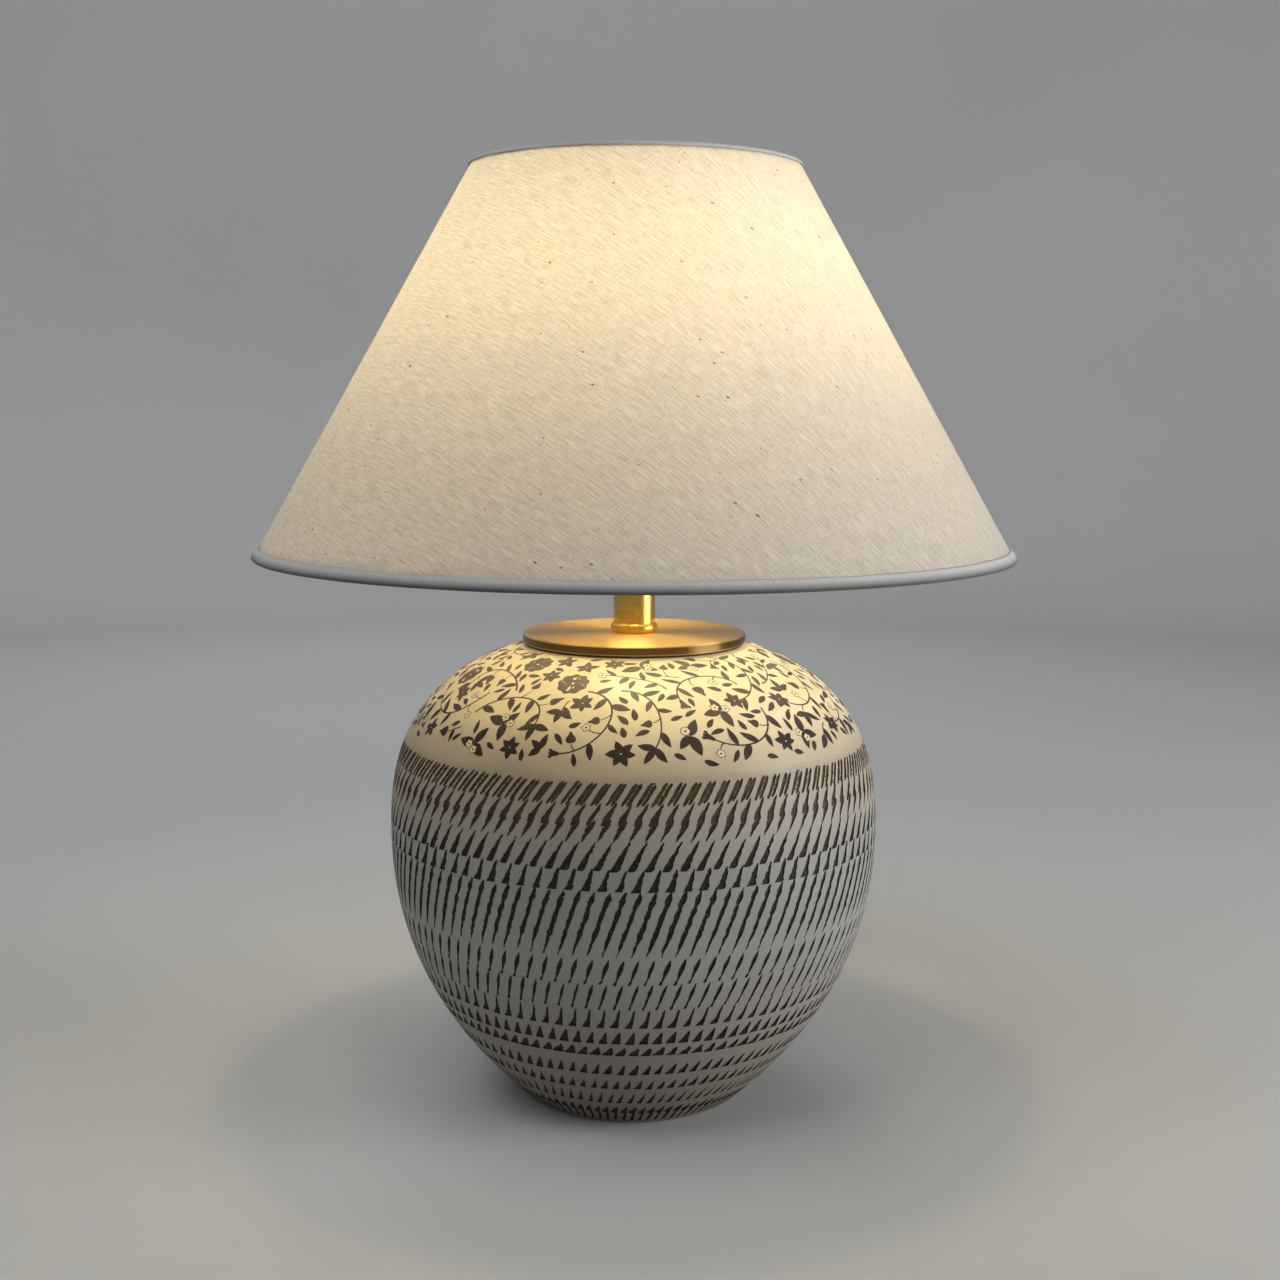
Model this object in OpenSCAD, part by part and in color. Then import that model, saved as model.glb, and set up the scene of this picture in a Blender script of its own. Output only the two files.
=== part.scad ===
// Table lamp: ceramic vase base, brass plate and column, harp, and a linen cone shade.
// The origin is on the table under the middle of the foot. +Z is up and +Y is the back.

/* [Vase] */
// Height of the vase, from its foot to its mouth
vase_h = 275; // [255:1:300]
// Radius of the vase at its widest
belly_r = 147.4; // [140:0.1:160]
// Height of the widest place above the foot
belly_h = 165; // [150:1:175]
// Radius of the foot
foot_r = 68.4; // [64:0.1:76]
// Radius of the flat land around the mouth
mouth_land_r = 66; // [62:0.5:70]
// Radius of the mouth
mouth_r = 42; // [36:0.5:46]
// Thickness of the vase's wall
wall = 7; // [5:0.5:9]
// Thickness of the vase's floor
floor_t = 8; // [6:0.5:11]
// Depth of the hollow under the foot
foot_recess_h = 20; // [19:0.5:26]
// Width of the foot ring that the vase stands on
foot_ring_w = 10.4; // [8:0.2:14]

/* [Plate and column] */
// Radius of the brass plate
plate_r = 67.3; // [64:0.1:72]
// Thickness of the brass plate
plate_t = 5.6; // [4:0.2:8]
// Radius of the column
column_r = 12.5; // [11:0.5:16]
// Length of the column above the plate
column_len = 62; // [50:1:90]
// Height of the bead at the column's foot
collar_h = 5.6; // [4:0.2:9]
// Radius of the threaded rod
rod_r = 5; // [4.6:0.1:5.5]
// Radius of the wire passage through the rod
rod_bore_r = 3.9; // [3:0.1:4]

/* [Shade] */
// Diameter of the shade's lower edge
shade_bottom_d = 450; // [400:1:500]
// Diameter of the shade's upper edge
shade_top_d = 192; // [170:1:220]
// Height of the shade
shade_h = 228; // [210:1:240]
// Thickness of the linen
fabric_t = 0.7; // [0.5:0.1:1.2]
// Thickness of the plastic backing
liner_t = 0.5; // [0.3:0.1:1]
// Height of the bound lower edge
bottom_hem_h = 5; // [4:0.5:9]
// Height of the bound upper edge
top_hem_h = 3; // [2.5:0.5:8]
// Radius of the lower ring's wire
bottom_wire_r = 1.9; // [1.5:0.1:2.4]
// Radius of the upper ring's wire
top_wire_r = 1.6; // [1.3:0.1:2]
// How far the spider's seat lies below the shade's upper edge
spider_drop = 12; // [11:0.5:16]
// Radius of the spider's arms
arm_r = 1.6; // [1.3:0.1:1.9]

/* [Harp] */
// Height from the saddle's seat to the harp's top
harp_h = 194.5; // [188:0.5:210]
// Width of the harp at its widest, measured along the wire's centre line
harp_w = 114; // [108:1:124]
// Distance between the harp's two feet
harp_foot_w = 59; // [56:0.5:62]
// Radius of the harp's wire
harp_wire_r = 2; // [1.8:0.1:2.3]
// Length of the ferrules that lock the harp
ferrule_len = 14; // [12:0.5:16]
// How far a ferrule lifts
ferrule_travel = 10; // [9.5:0.5:12]
// Radius of the stud that the shade sits on
stud_r = 3.1; // [2.8:0.1:3.6]
// Length of the stud above the harp's top
stud_len = 16; // [14:0.5:18]

/* [Lamp holder and bulb] */
// Radius of the holder's brass shell
shell_r = 16.5; // [16:0.1:17.5]
// Length of the holder's brass shell
shell_len = 36.4; // [33:0.1:38]
// Radius of the bulb's screw cap
bulb_cap_r = 13.1; // [12.9:0.1:13.3]
// Radius of the bulb's globe
globe_r = 30; // [27:0.5:32]
// Height of the bulb, from its tip to its top
bulb_h = 108; // [102:1:112]

/* [Hidden] */
$fn = 64;

// Clearances: a running fit, and a gap between skins
fit = 0.05;
skin_gap = 0.05;
// A cut runs this far past the faces it passes through
past = 1;

// Colours
brass = [0.78, 0.63, 0.36];
steel = [0.72, 0.72, 0.70];
linen = [0.90, 0.85, 0.74];
glaze = [0.88, 0.86, 0.82];

// Vase: the upper curve is a superellipse of this power, and the lower one mixes a square and a cube
shoulder_power = 2.5;
square_share = 0.69;
profile_steps = 36;
foot_pad_t = 1;
foot_pad_in = 0.8;
vase_z = foot_pad_t;
vase_top = vase_z + vase_h;
belly_z = vase_z + belly_h;
foot_recess_r = foot_r - foot_ring_w;
floor_z = vase_z + foot_recess_h;
inside_floor_z = floor_z + floor_t;
shoulder_b = (vase_top - belly_z)
    / pow(1 - pow(mouth_land_r / belly_r, shoulder_power), 1 / shoulder_power);
cord_hole_z = 11;
grommet_bore_r = 3.6;
grommet_wall = 1.4;
grommet_r = grommet_bore_r + grommet_wall;
grommet_lip = 1.6;
grommet_lip_t = 2.5;
grommet_out = 1.5;

// Clamp under the floor
floor_hole_r = rod_r + 1;
washer_r = 21;
washer_t = 2;
lock_r = 9;
lock_t = 1;
nut_af = 17;
nut_t = 7;
rod_below_nut = 4;
nut_z = floor_z - washer_t - lock_t - nut_t;
rod_z = nut_z - rod_below_nut;

// Plate and column
gasket_t = 1.3;
gasket_in = 61;
gasket_edge = 0.8;
plate_z = vase_top + gasket_t;
plate_top = plate_z + plate_t;
plate_skin = 1.6;
plate_round = 1.4;
spigot_t = 1.5;
spigot_play = 0.8;
spigot_len = 6;
hub_r = 9.5;
tube_wall = 1;
tube_top = plate_top + column_len;
tube_cap_t = 2.5;
tube_cap_spigot = 4;
collar_r = column_r + 1.6;
stack_z = tube_top + tube_cap_t;

// Saddle and holder stack
saddle_t = 1.5;
saddle_w = 12;
saddle_bend = 3;
ear_h = 7;
prong_h = 9;
prong_gap = 0.1;
saddle_top = stack_z + saddle_t;
harp_x = harp_foot_w / 2;
ear_x = harp_x - prong_gap / 2;
prong_z = stack_z + ear_h;
prong_top = prong_z + prong_h;
saddle_nut_af = 14;
saddle_nut_t = 3;
holder_z = saddle_top + saddle_nut_t;
rod_into_holder = 6;
rod_top = holder_z + rod_into_holder;

// Lamp holder
holder_floor = 2.5;
holder_skin = 0.7;
holder_cap_h = 21;
core_z = holder_z + 14;
core_t = 6.5;
core_top = core_z + core_t;
shell_t = 0.5;
liner_gap = 0.1;
card_t = 1;
screw_play = 0.65;
screw_t = 0.5;
screw_len = 25;
shell_z = holder_z + 13;
shell_top = shell_z + shell_len;
shell_in = shell_r - shell_t;
card_r = shell_in - liner_gap;
core_r = card_r - card_t - liner_gap;
screw_in = bulb_cap_r + screw_play;
contact_w = 5;
contact_t = 0.4;
contact_h = 3.8;
contact_top = core_top + contact_h;
terminal_x = 9;
terminal_head_r = 2.6;
terminal_head_t = 1.6;
terminal_r = 1.5;
terminal_len = 5;

// Bulb, from its tip upwards
tip_r = 4.8;
tip_t = 1;
insulator_t = 3;
insulator_r = bulb_cap_r - 1.6;
cap_len = 22;
cap_skin = 0.6;
bulb_z = contact_top;
cap_z = bulb_z + tip_t + insulator_t;
cap_end = cap_z + cap_len;
bulb_top = bulb_z + bulb_h;
globe_z = bulb_top - globe_r;
globe_seat_share = 0.6;
globe_seat_z = globe_z - globe_r * globe_seat_share;
globe_seat_r = globe_r * sqrt(1 - globe_seat_share * globe_seat_share);
globe_t = 1.5;
neck_r = bulb_cap_r + 1.2;
neck_in = 12;
board_t = 1.6;
board_gap = 2;

// Harp: legs, an outward arc, the wide side arc, a straight and the top arc, all tangent
harp_top = saddle_top + harp_h;
leg_top = prong_z + ferrule_len + ferrule_travel + 0.5;
foot_arc_r = 40;
foot_arc_a = 40;
side_end_a = 14;
side_x = harp_x + foot_arc_r * (1 - cos(foot_arc_a));
side_z = leg_top + foot_arc_r * sin(foot_arc_a);
side_r = (harp_w / 2 - side_x) / (1 - cos(foot_arc_a));
side_cx = side_x - side_r * cos(foot_arc_a);
side_cz = side_z + side_r * sin(foot_arc_a);
slope_x = side_cx + side_r * cos(side_end_a);
slope_z = side_cz + side_r * sin(side_end_a);
top_k = (1 - sin(side_end_a)) / cos(side_end_a);
slope_len = (harp_top - slope_z - slope_x * top_k) / (cos(side_end_a) - sin(side_end_a) * top_k);
top_r = (slope_x - slope_len * sin(side_end_a)) / cos(side_end_a);
top_cz = harp_top - top_r;
seam_bead = 0.02;
seam_short = 0.1;
boss_r = 6;
boss_up = 2.6;
boss_down = 3;
seat_z = harp_top + boss_up;
ferrule_play = 0.3;
ferrule_wall = 1.6;
ferrule_r = harp_wire_r + ferrule_play + ferrule_wall;
ferrule_rim = 0.7;
ferrule_rim_h = 2;

// Shade: a depth is measured square to the cone, inwards from its outer face
shade_top = seat_z + spider_drop;
shade_z = shade_top - shade_h;
shade_slope = (shade_bottom_d - shade_top_d) / 2 / shade_h;
shade_cos = 1 / sqrt(1 + shade_slope * shade_slope);
hem_t = 0.6;
fabric_d = hem_t + skin_gap;
liner_d = fabric_d + fabric_t + skin_gap;
wire_d = liner_d + liner_t + skin_gap;
bottom_hem_in_d = wire_d + 2 * bottom_wire_r + skin_gap;
top_hem_in_d = wire_d + 2 * top_wire_r + skin_gap;
hem_inside = 3;
skin_z0 = shade_z + hem_t + skin_gap;
skin_z1 = shade_top - hem_t - skin_gap;
bottom_ring_z = skin_z0 + bottom_wire_r;
top_ring_z = skin_z1 - top_wire_r;
bottom_ring_r = cone_r(bottom_ring_z, wire_d + bottom_wire_r);
top_ring_r = cone_r(top_ring_z, wire_d + top_wire_r);
washer_hole_r = stud_r + 0.2;
spider_washer_r = 13;
spider_washer_t = 1.6;
arm_z = seat_z + spider_washer_t + arm_r + fit;
arm_start = 9;
arm_count = 3;
arm_turn = 90;
finial_r = 7;
finial_z = seat_z + spider_washer_t;
finial_play = 0.1;
finial_h = stud_len + 4.4;

function cone_r(z, depth) = shade_bottom_d / 2 - (z - shade_z) * shade_slope - depth / shade_cos;

function vase_low(z) = belly_r - (belly_r - foot_r) * low_mix((belly_z - z) / belly_h);

function low_mix(t) = square_share * t * t + (1 - square_share) * t * t * t;

function shoulder_r(z, across, up) =
    across * pow(1 - pow((z - belly_z) / up, shoulder_power), 1 / shoulder_power);

function vase_high(z) = shoulder_r(z, belly_r, shoulder_b);

// Flat ring or tube
module ring(outer, inner, low, high) {
    translate([0, 0, low])
        difference() {
            cylinder(r = outer, h = high - low);
            translate([0, 0, -past]) cylinder(r = inner, h = high - low + 2 * past);
        }
}

// Hexagon nut with its bore
module nut(across_flats, low, high) {
    translate([0, 0, low])
        difference() {
            cylinder(r = across_flats / 2 / cos(30), h = high - low, $fn = 6);
            translate([0, 0, -past]) cylinder(r = rod_r + fit, h = high - low + 2 * past);
        }
}

// Wire ring around the axis
module wire_ring(radius, wire, z) {
    translate([0, 0, z]) rotate_extrude() translate([radius, 0]) circle(r = wire);
}

// Band of the shade's cone between two depths and two heights
module cone_band(d0, d1, z0, z1) {
    rotate_extrude()
        polygon([
            [cone_r(z0, d0), z0], [cone_r(z1, d0), z1],
            [cone_r(z1, d1), z1], [cone_r(z0, d1), z0]
        ]);
}

module foot_pad() {
    color([0.25, 0.23, 0.21])
        ring(foot_r - 2.4, foot_recess_r + foot_pad_in, 0, foot_pad_t);
}

// The wall follows the outer curve at an even distance, down to a floor above the foot hollow
module vase() {
    low = [for (i = [0 : profile_steps]) vase_z + belly_h * i / profile_steps];
    high = [for (i = [1 : profile_steps]) belly_z + (vase_top - belly_z) * sin(90 * i / profile_steps)];
    inner_top = vase_top - wall;
    inner_low = [for (i = [0 : profile_steps])
        inside_floor_z + (belly_z - inside_floor_z) * i / profile_steps];
    inner_high = [for (i = [1 : profile_steps])
        belly_z + (inner_top - belly_z) * sin(90 * i / profile_steps)];
    color(glaze)
        difference() {
            rotate_extrude()
                polygon(concat(
                    [[foot_recess_r, vase_z]],
                    [for (z = low) [vase_low(z), z]],
                    [for (z = high) [vase_high(z), z]],
                    [[mouth_r, vase_top], [mouth_r, inner_top]],
                    [for (i = [profile_steps - 1 : -1 : 0])
                        [shoulder_r(inner_high[i], belly_r - wall, shoulder_b - wall), inner_high[i]]],
                    [for (i = [profile_steps : -1 : 0]) [vase_low(inner_low[i]) - wall, inner_low[i]]],
                    [[floor_hole_r, inside_floor_z], [floor_hole_r, floor_z], [foot_recess_r, floor_z]]
                ));
            translate([0, 0, cord_hole_z])
                rotate([-90, 0, 0])
                    cylinder(r = grommet_r + fit, h = belly_r);
        }
}

// Rubber sleeve with a lip inside the foot hollow; its outer end stands just proud of the foot
module cord_grommet() {
    lip_y = sqrt(pow(foot_recess_r, 2) - pow(grommet_r + grommet_lip, 2)) - skin_gap;
    end_y = vase_low(cord_hole_z) + grommet_out + grommet_r;
    color([0.2, 0.19, 0.18])
        translate([0, 0, cord_hole_z])
            rotate([-90, 0, 0])
                difference() {
                    union() {
                        translate([0, 0, lip_y - grommet_lip_t])
                            cylinder(r = grommet_r + grommet_lip, h = grommet_lip_t);
                        translate([0, 0, lip_y - grommet_lip_t])
                            cylinder(r = grommet_r, h = end_y - lip_y + grommet_lip_t);
                    }
                    cylinder(r = grommet_bore_r, h = belly_r);
                }
}

module base_washer() {
    color(steel) ring(washer_r, rod_r + fit, floor_z - washer_t, floor_z);
}

module lock_washer() {
    color(steel) ring(lock_r, rod_r + fit, nut_z + nut_t, nut_z + nut_t + lock_t);
}

module base_nut() {
    color(steel) nut(nut_af, nut_z, nut_z + nut_t);
}

module threaded_rod() {
    color(steel) ring(rod_r, rod_bore_r, rod_z, rod_top);
}

module mouth_gasket() {
    color([0.16, 0.14, 0.12])
        ring(mouth_land_r - gasket_edge, gasket_in, vase_top, plate_z);
}

// Turned plate with a skin, a deep rim on the gasket, a hub and a centring ring in the mouth
module cap_plate() {
    spigot_r = mouth_r - spigot_play;
    rim_in = gasket_in - gasket_edge;
    c = plate_round;
    color(brass)
        rotate_extrude()
            polygon(concat(
                [[rod_r + fit, plate_z], [hub_r, plate_z], [hub_r, plate_top - plate_skin]],
                [[spigot_r - spigot_t, plate_top - plate_skin], [spigot_r - spigot_t, plate_z - spigot_len]],
                [[spigot_r, plate_z - spigot_len], [spigot_r, plate_top - plate_skin]],
                [[rim_in, plate_top - plate_skin], [rim_in, plate_z]],
                [for (a = [-90 : 15 : 0]) [plate_r - c + c * cos(a), plate_z + c + c * sin(a)]],
                [for (a = [0 : 15 : 90]) [plate_r - c + c * cos(a), plate_top - c + c * sin(a)]],
                [[rod_r + fit, plate_top]]
            ));
}

// Bead with a round outer face, around the column's foot
module column_collar() {
    bead = collar_h / 2;
    bulge = collar_r - column_r - 0.4;
    color(brass)
        rotate_extrude()
            polygon(concat(
                [[column_r + fit, plate_top]],
                [for (a = [-90 : 15 : 90])
                    [collar_r - bulge + bulge * cos(a), plate_top + bead + bead * sin(a)]],
                [[column_r + fit, plate_top + collar_h]]
            ));
}

module column_tube() {
    color(brass) ring(column_r, column_r - tube_wall, plate_top, tube_top);
}

module column_cap() {
    edge = 0.8;
    color(brass)
        rotate_extrude()
            polygon([
                [rod_r + fit, tube_top - tube_cap_spigot],
                [column_r - tube_wall - fit, tube_top - tube_cap_spigot],
                [column_r - tube_wall - fit, tube_top], [column_r, tube_top],
                [column_r, stack_z - edge], [column_r - edge, stack_z], [rod_r + fit, stack_z]
            ]);
}

// Bent strip: flat across the stack, round bends, ears that narrow to a shoulder, half-round prongs
module harp_saddle() {
    flat_x = ear_x - saddle_bend - saddle_t;
    color(brass)
        difference() {
            union() {
                translate([-flat_x, -saddle_w / 2, stack_z]) cube([2 * flat_x, saddle_w, saddle_t]);
                for (side = [0, 180])
                    rotate([0, 0, side]) saddle_ear(flat_x);
            }
            translate([0, 0, stack_z - past]) cylinder(r = rod_r + fit, h = saddle_t + 2 * past);
        }
}

module saddle_ear(flat_x) {
    bend_z = stack_z + saddle_t + saddle_bend;
    translate([flat_x, -saddle_w / 2, bend_z])
        rotate([90, 0, 0])
            rotate([0, 0, -90])
                rotate_extrude(angle = 90)
                    translate([saddle_bend, -saddle_w]) square([saddle_t, saddle_w]);
    translate([ear_x, 0, 0])
        rotate([0, 0, 180])
            rotate([90, 0, 90])
                linear_extrude(height = saddle_t)
                    polygon([
                        [-saddle_w / 2, bend_z], [saddle_w / 2, bend_z],
                        [saddle_w / 2 - 1, prong_z], [-saddle_w / 2 + 1, prong_z]
                    ]);
    intersection() {
        translate([harp_x, 0, prong_z - 0.5])
            cylinder(r = harp_wire_r - 0.1, h = prong_h + 0.5);
        translate([0, -saddle_w / 2, prong_z - 0.5])
            cube([ear_x, saddle_w, prong_h + 0.5]);
    }
}

module saddle_nut() {
    color(brass) nut(saddle_nut_af, saddle_top, holder_z);
}

// Bell-shaped cup screwed onto the rod
module socket_cap() {
    outer = shell_r + liner_gap + holder_skin;
    s = holder_skin;
    flare_z = holder_z + 12;
    color(brass)
        rotate_extrude()
            polygon([
                [rod_r + fit, holder_z], [hub_r, holder_z], [hub_r + 3, holder_z + 1.5],
                [outer - 1.2, flare_z - 4], [outer, flare_z], [outer, holder_z + holder_cap_h],
                [outer - s, holder_z + holder_cap_h], [outer - s, flare_z + 0.4],
                [outer - 1.2 - s, flare_z - 3.6], [hub_r + 3 - s, holder_z + holder_floor],
                [rod_r + fit, holder_z + holder_floor]
            ]);
}

// Brass shell with a rolled upper edge
module socket_shell() {
    roll = 0.8;
    color(brass)
        rotate_extrude()
            union() {
                translate([shell_in, shell_z]) square([shell_t, shell_len]);
                translate([shell_r, shell_top - roll]) circle(r = roll);
            }
}

module socket_liner() {
    color([0.75, 0.66, 0.48])
        ring(card_r, card_r - card_t, shell_z + 0.5, shell_top - 1.4);
}

// Moulded disc that carries the contacts, with holes for the terminal screws
module socket_core() {
    color([0.93, 0.91, 0.86])
        difference() {
            translate([0, 0, core_z]) cylinder(r = core_r, h = core_t);
            for (side = [-1, 1])
                translate([side * terminal_x, 0, core_z - past])
                    cylinder(r = terminal_r + fit, h = terminal_len + past);
            translate([0, 0, core_z - past]) cylinder(r = 2, h = core_t - 2 + past);
        }
}

// Screwed sleeve that takes the bulb's cap, with an inward foot on the core
module screw_shell() {
    color(brass)
        rotate_extrude()
            polygon([
                [terminal_x + 1.5, core_top], [screw_in + screw_t, core_top],
                [screw_in + screw_t, core_top + screw_len], [screw_in, core_top + screw_len],
                [screw_in, core_top + screw_t], [terminal_x + 1.5, core_top + screw_t]
            ]);
}

// Spring strip bent up from the core to a flat tongue under the bulb's tip
module centre_contact() {
    t = contact_t;
    color(brass)
        translate([0, contact_w / 2, core_top])
            rotate([90, 0, 0])
                linear_extrude(height = contact_w)
                    polygon([
                        [-6, 0], [2, 0], [6, contact_h - 1.2], [6, contact_h - 0.4], [5.4, contact_h],
                        [-3, contact_h], [-3, contact_h - t], [5.2, contact_h - t], [5.55, contact_h - 1],
                        [1.8, t], [-6, t]
                    ]);
}

module terminal_screws() {
    color(brass)
        for (side = [-1, 1])
            translate([side * terminal_x, 0, 0]) {
                translate([0, 0, core_z - terminal_head_t])
                    cylinder(r = terminal_head_r, h = terminal_head_t);
                translate([0, 0, core_z - terminal_head_t])
                    cylinder(r = terminal_r, h = terminal_head_t + terminal_len - 0.5);
            }
}

module bulb_tip() {
    color(steel) translate([0, 0, bulb_z]) cylinder(r = tip_r, h = tip_t);
}

module bulb_insulator() {
    color([0.08, 0.08, 0.09])
        translate([0, 0, bulb_z + tip_t])
            cylinder(r1 = tip_r + 0.6, r2 = insulator_r, h = insulator_t);
}

// Thin screw cap, closed around the insulator at its foot
module bulb_cap() {
    foot_h = 1.2;
    color(steel)
        rotate_extrude()
            polygon([
                [insulator_r - 1.5, cap_z], [insulator_r, cap_z], [bulb_cap_r, cap_z + foot_h],
                [bulb_cap_r, cap_end], [bulb_cap_r - cap_skin, cap_end],
                [bulb_cap_r - cap_skin, cap_z + foot_h + 0.4], [insulator_r - 1.5, cap_z + cap_skin]
            ]);
}

// Moulded body: a plug in the cap, then a trumpet that widens to the globe
module bulb_housing() {
    rise = globe_seat_z - cap_end;
    color([0.95, 0.95, 0.94])
        rotate_extrude()
            polygon(concat(
                [[0, cap_end - neck_in], [bulb_cap_r - cap_skin - fit, cap_end - neck_in]],
                [[bulb_cap_r - cap_skin - fit, cap_end]],
                [for (i = [0 : 12])
                    [neck_r + (globe_seat_r - neck_r) * (1 - cos(90 * i / 12)) * 0.55
                        + (globe_seat_r - neck_r) * 0.45 * i / 12, cap_end + rise * i / 12]],
                [[0, globe_seat_z]]
            ));
}

module led_board() {
    color([0.96, 0.96, 0.92])
        translate([0, 0, globe_seat_z])
            cylinder(r = globe_seat_r - globe_t - board_gap, h = board_t);
}

// Frosted dome, open at its seat on the housing
module bulb_globe() {
    color([1, 0.97, 0.9])
        difference() {
            translate([0, 0, globe_z]) sphere(r = globe_r);
            translate([0, 0, globe_z]) sphere(r = globe_r - globe_t);
            translate([0, 0, globe_seat_z - 2 * globe_r])
                cylinder(r = 2 * globe_r, h = 2 * globe_r);
        }
}

// Wire bent around a centre in the harp's plane; each end stops short inside the seam's bead
module bent_wire(x, z, radius, from, to, wire) {
    short = seam_short / radius * 180 / PI;
    translate([x, 0, z])
        rotate([90, 0, 0])
            rotate([0, 0, from + short])
                rotate_extrude(angle = to - from - 2 * short) translate([radius, 0]) circle(r = wire);
}

// Smooth bead where two stretches of wire run into each other
module seam(x, z, wire) {
    translate([x, 0, z]) sphere(r = wire + seam_bead);
}

// One half of the harp's wire, from the leg to the middle of the top
module half_wire(wire) {
    translate([harp_x, 0, prong_top]) cylinder(r = wire, h = leg_top - prong_top - seam_short);
    seam(harp_x, leg_top, wire);
    bent_wire(harp_x + foot_arc_r, leg_top, foot_arc_r, 180 - foot_arc_a, 180, wire);
    seam(side_x, side_z, wire);
    bent_wire(side_cx, side_cz, side_r, -foot_arc_a, side_end_a, wire);
    seam(slope_x, slope_z, wire);
    translate([slope_x, 0, slope_z])
        rotate([0, -side_end_a, 0])
            translate([0, 0, seam_short]) cylinder(r = wire, h = slope_len - 2 * seam_short);
    seam(top_r * cos(side_end_a), top_cz + top_r * sin(side_end_a), wire);
    bent_wire(0, top_cz, top_r, side_end_a, 90, wire);
}

// Lower end of a leg, flattened to a half-round that lies against the saddle's prong
module leg_end() {
    intersection() {
        translate([harp_x, 0, prong_z]) cylinder(r = harp_wire_r, h = prong_h);
        translate([harp_x + prong_gap / 2, -saddle_w / 2, prong_z])
            cube([harp_wire_r, saddle_w, prong_h]);
    }
}

module harp_bow() {
    color(brass)
        union() {
            for (side = [0, 180])
                rotate([0, 0, side]) {
                    half_wire(harp_wire_r);
                    leg_end();
                }
            seam(0, harp_top, harp_wire_r);
        }
}

// Boss crimped around the harp's top, with the stud for the shade
module harp_stud() {
    color(brass)
        difference() {
            union() {
                translate([0, 0, harp_top - boss_down])
                    cylinder(r = boss_r, h = boss_down + boss_up);
                translate([0, 0, seat_z]) cylinder(r = stud_r, h = stud_len);
            }
            for (side = [0, 180])
                rotate([0, 0, side]) bent_wire(0, top_cz, top_r, side_end_a, 91, harp_wire_r + fit);
        }
}

// Sleeve that slides down over a prong and a leg end, with a rim at its foot
module ferrule(side) {
    color(brass)
        translate([side * harp_x, 0, prong_z])
            difference() {
                union() {
                    cylinder(r = ferrule_r, h = ferrule_len);
                    cylinder(r = ferrule_r + ferrule_rim, h = ferrule_rim_h);
                }
                translate([0, 0, -past])
                    cylinder(r = harp_wire_r + ferrule_play, h = ferrule_len + 2 * past);
            }
}

module ferrule_left() {
    ferrule(-1);
}

module ferrule_right() {
    ferrule(1);
}

module spider_washer() {
    color(brass) ring(spider_washer_r, washer_hole_r, seat_z, seat_z + spider_washer_t);
}

// Three wires from the washer out and up, butted against the shade's upper ring
module spider_arms() {
    tilt = atan((top_ring_z - arm_z) / (top_ring_r - arm_start));
    reach = (top_ring_r - arm_start) / cos(tilt) - top_wire_r - fit;
    color(brass)
        for (i = [0 : arm_count - 1])
            rotate([0, 0, arm_turn + i * 360 / arm_count])
                translate([arm_start, 0, arm_z])
                    rotate([0, 90 - tilt, 0]) cylinder(r = arm_r, h = reach);
}

// Turned nut with a blind hole for the stud
module finial() {
    base_t = 2.4;
    neck_r = 5;
    ball_r = 6.2;
    ball_z = finial_z + finial_h - ball_r;
    color(brass)
        difference() {
            rotate_extrude()
                polygon(concat(
                    [[0, finial_z], [finial_r, finial_z], [finial_r, finial_z + base_t]],
                    [[neck_r, finial_z + base_t + 1], [neck_r, finial_z + base_t + 2]],
                    [for (a = [-40 : 10 : 80]) [ball_r * cos(a), ball_z + ball_r * sin(a)]],
                    [[0, finial_z + finial_h]]
                ));
            translate([0, 0, finial_z - past])
                cylinder(r = stud_r + finial_play, h = stud_len - spider_washer_t + 1 + past);
        }
}

module shade_fabric() {
    color(linen) cone_band(fabric_d, fabric_d + fabric_t, skin_z0, skin_z1);
}

module shade_liner() {
    color([0.96, 0.95, 0.92]) cone_band(liner_d, liner_d + liner_t, skin_z0, skin_z1);
}

module top_ring() {
    color(steel) wire_ring(top_ring_r, top_wire_r, top_ring_z);
}

module bottom_ring() {
    color(steel) wire_ring(bottom_ring_r, bottom_wire_r, bottom_ring_z);
}

// Binding folded over the upper edge and its ring, notched around the arms
module top_hem() {
    z1 = shade_top;
    z0 = shade_top - top_hem_h;
    zi = top_ring_z - top_wire_r - hem_inside;
    d = top_hem_in_d;
    color(linen)
        difference() {
            rotate_extrude()
                polygon([
                    [cone_r(z0, 0), z0], [cone_r(z1, 0), z1], [cone_r(z1, d + hem_t), z1],
                    [cone_r(zi, d + hem_t), zi], [cone_r(zi, d), zi],
                    [cone_r(z1 - hem_t, d), z1 - hem_t], [cone_r(z1 - hem_t, hem_t), z1 - hem_t],
                    [cone_r(z0, hem_t), z0]
                ]);
            for (i = [0 : arm_count - 1])
                rotate([0, 0, arm_turn + i * 360 / arm_count])
                    translate([top_ring_r - 3 * top_wire_r - hem_inside, -arm_r - skin_gap, zi - past])
                        cube([3 * top_wire_r + hem_inside, 2 * (arm_r + skin_gap),
                            top_ring_z + arm_r + skin_gap - zi + past]);
        }
}

// Binding folded under the lower edge and its ring
module bottom_hem() {
    z0 = shade_z;
    z1 = shade_z + bottom_hem_h;
    zi = bottom_ring_z + bottom_wire_r + hem_inside;
    d = bottom_hem_in_d;
    color(linen)
        rotate_extrude()
            polygon([
                [cone_r(z0, 0), z0], [cone_r(z1, 0), z1], [cone_r(z1, hem_t), z1],
                [cone_r(z0 + hem_t, hem_t), z0 + hem_t], [cone_r(z0 + hem_t, d), z0 + hem_t],
                [cone_r(zi, d), zi], [cone_r(zi, d + hem_t), zi], [cone_r(z0, d + hem_t), z0]
            ]);
}

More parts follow.
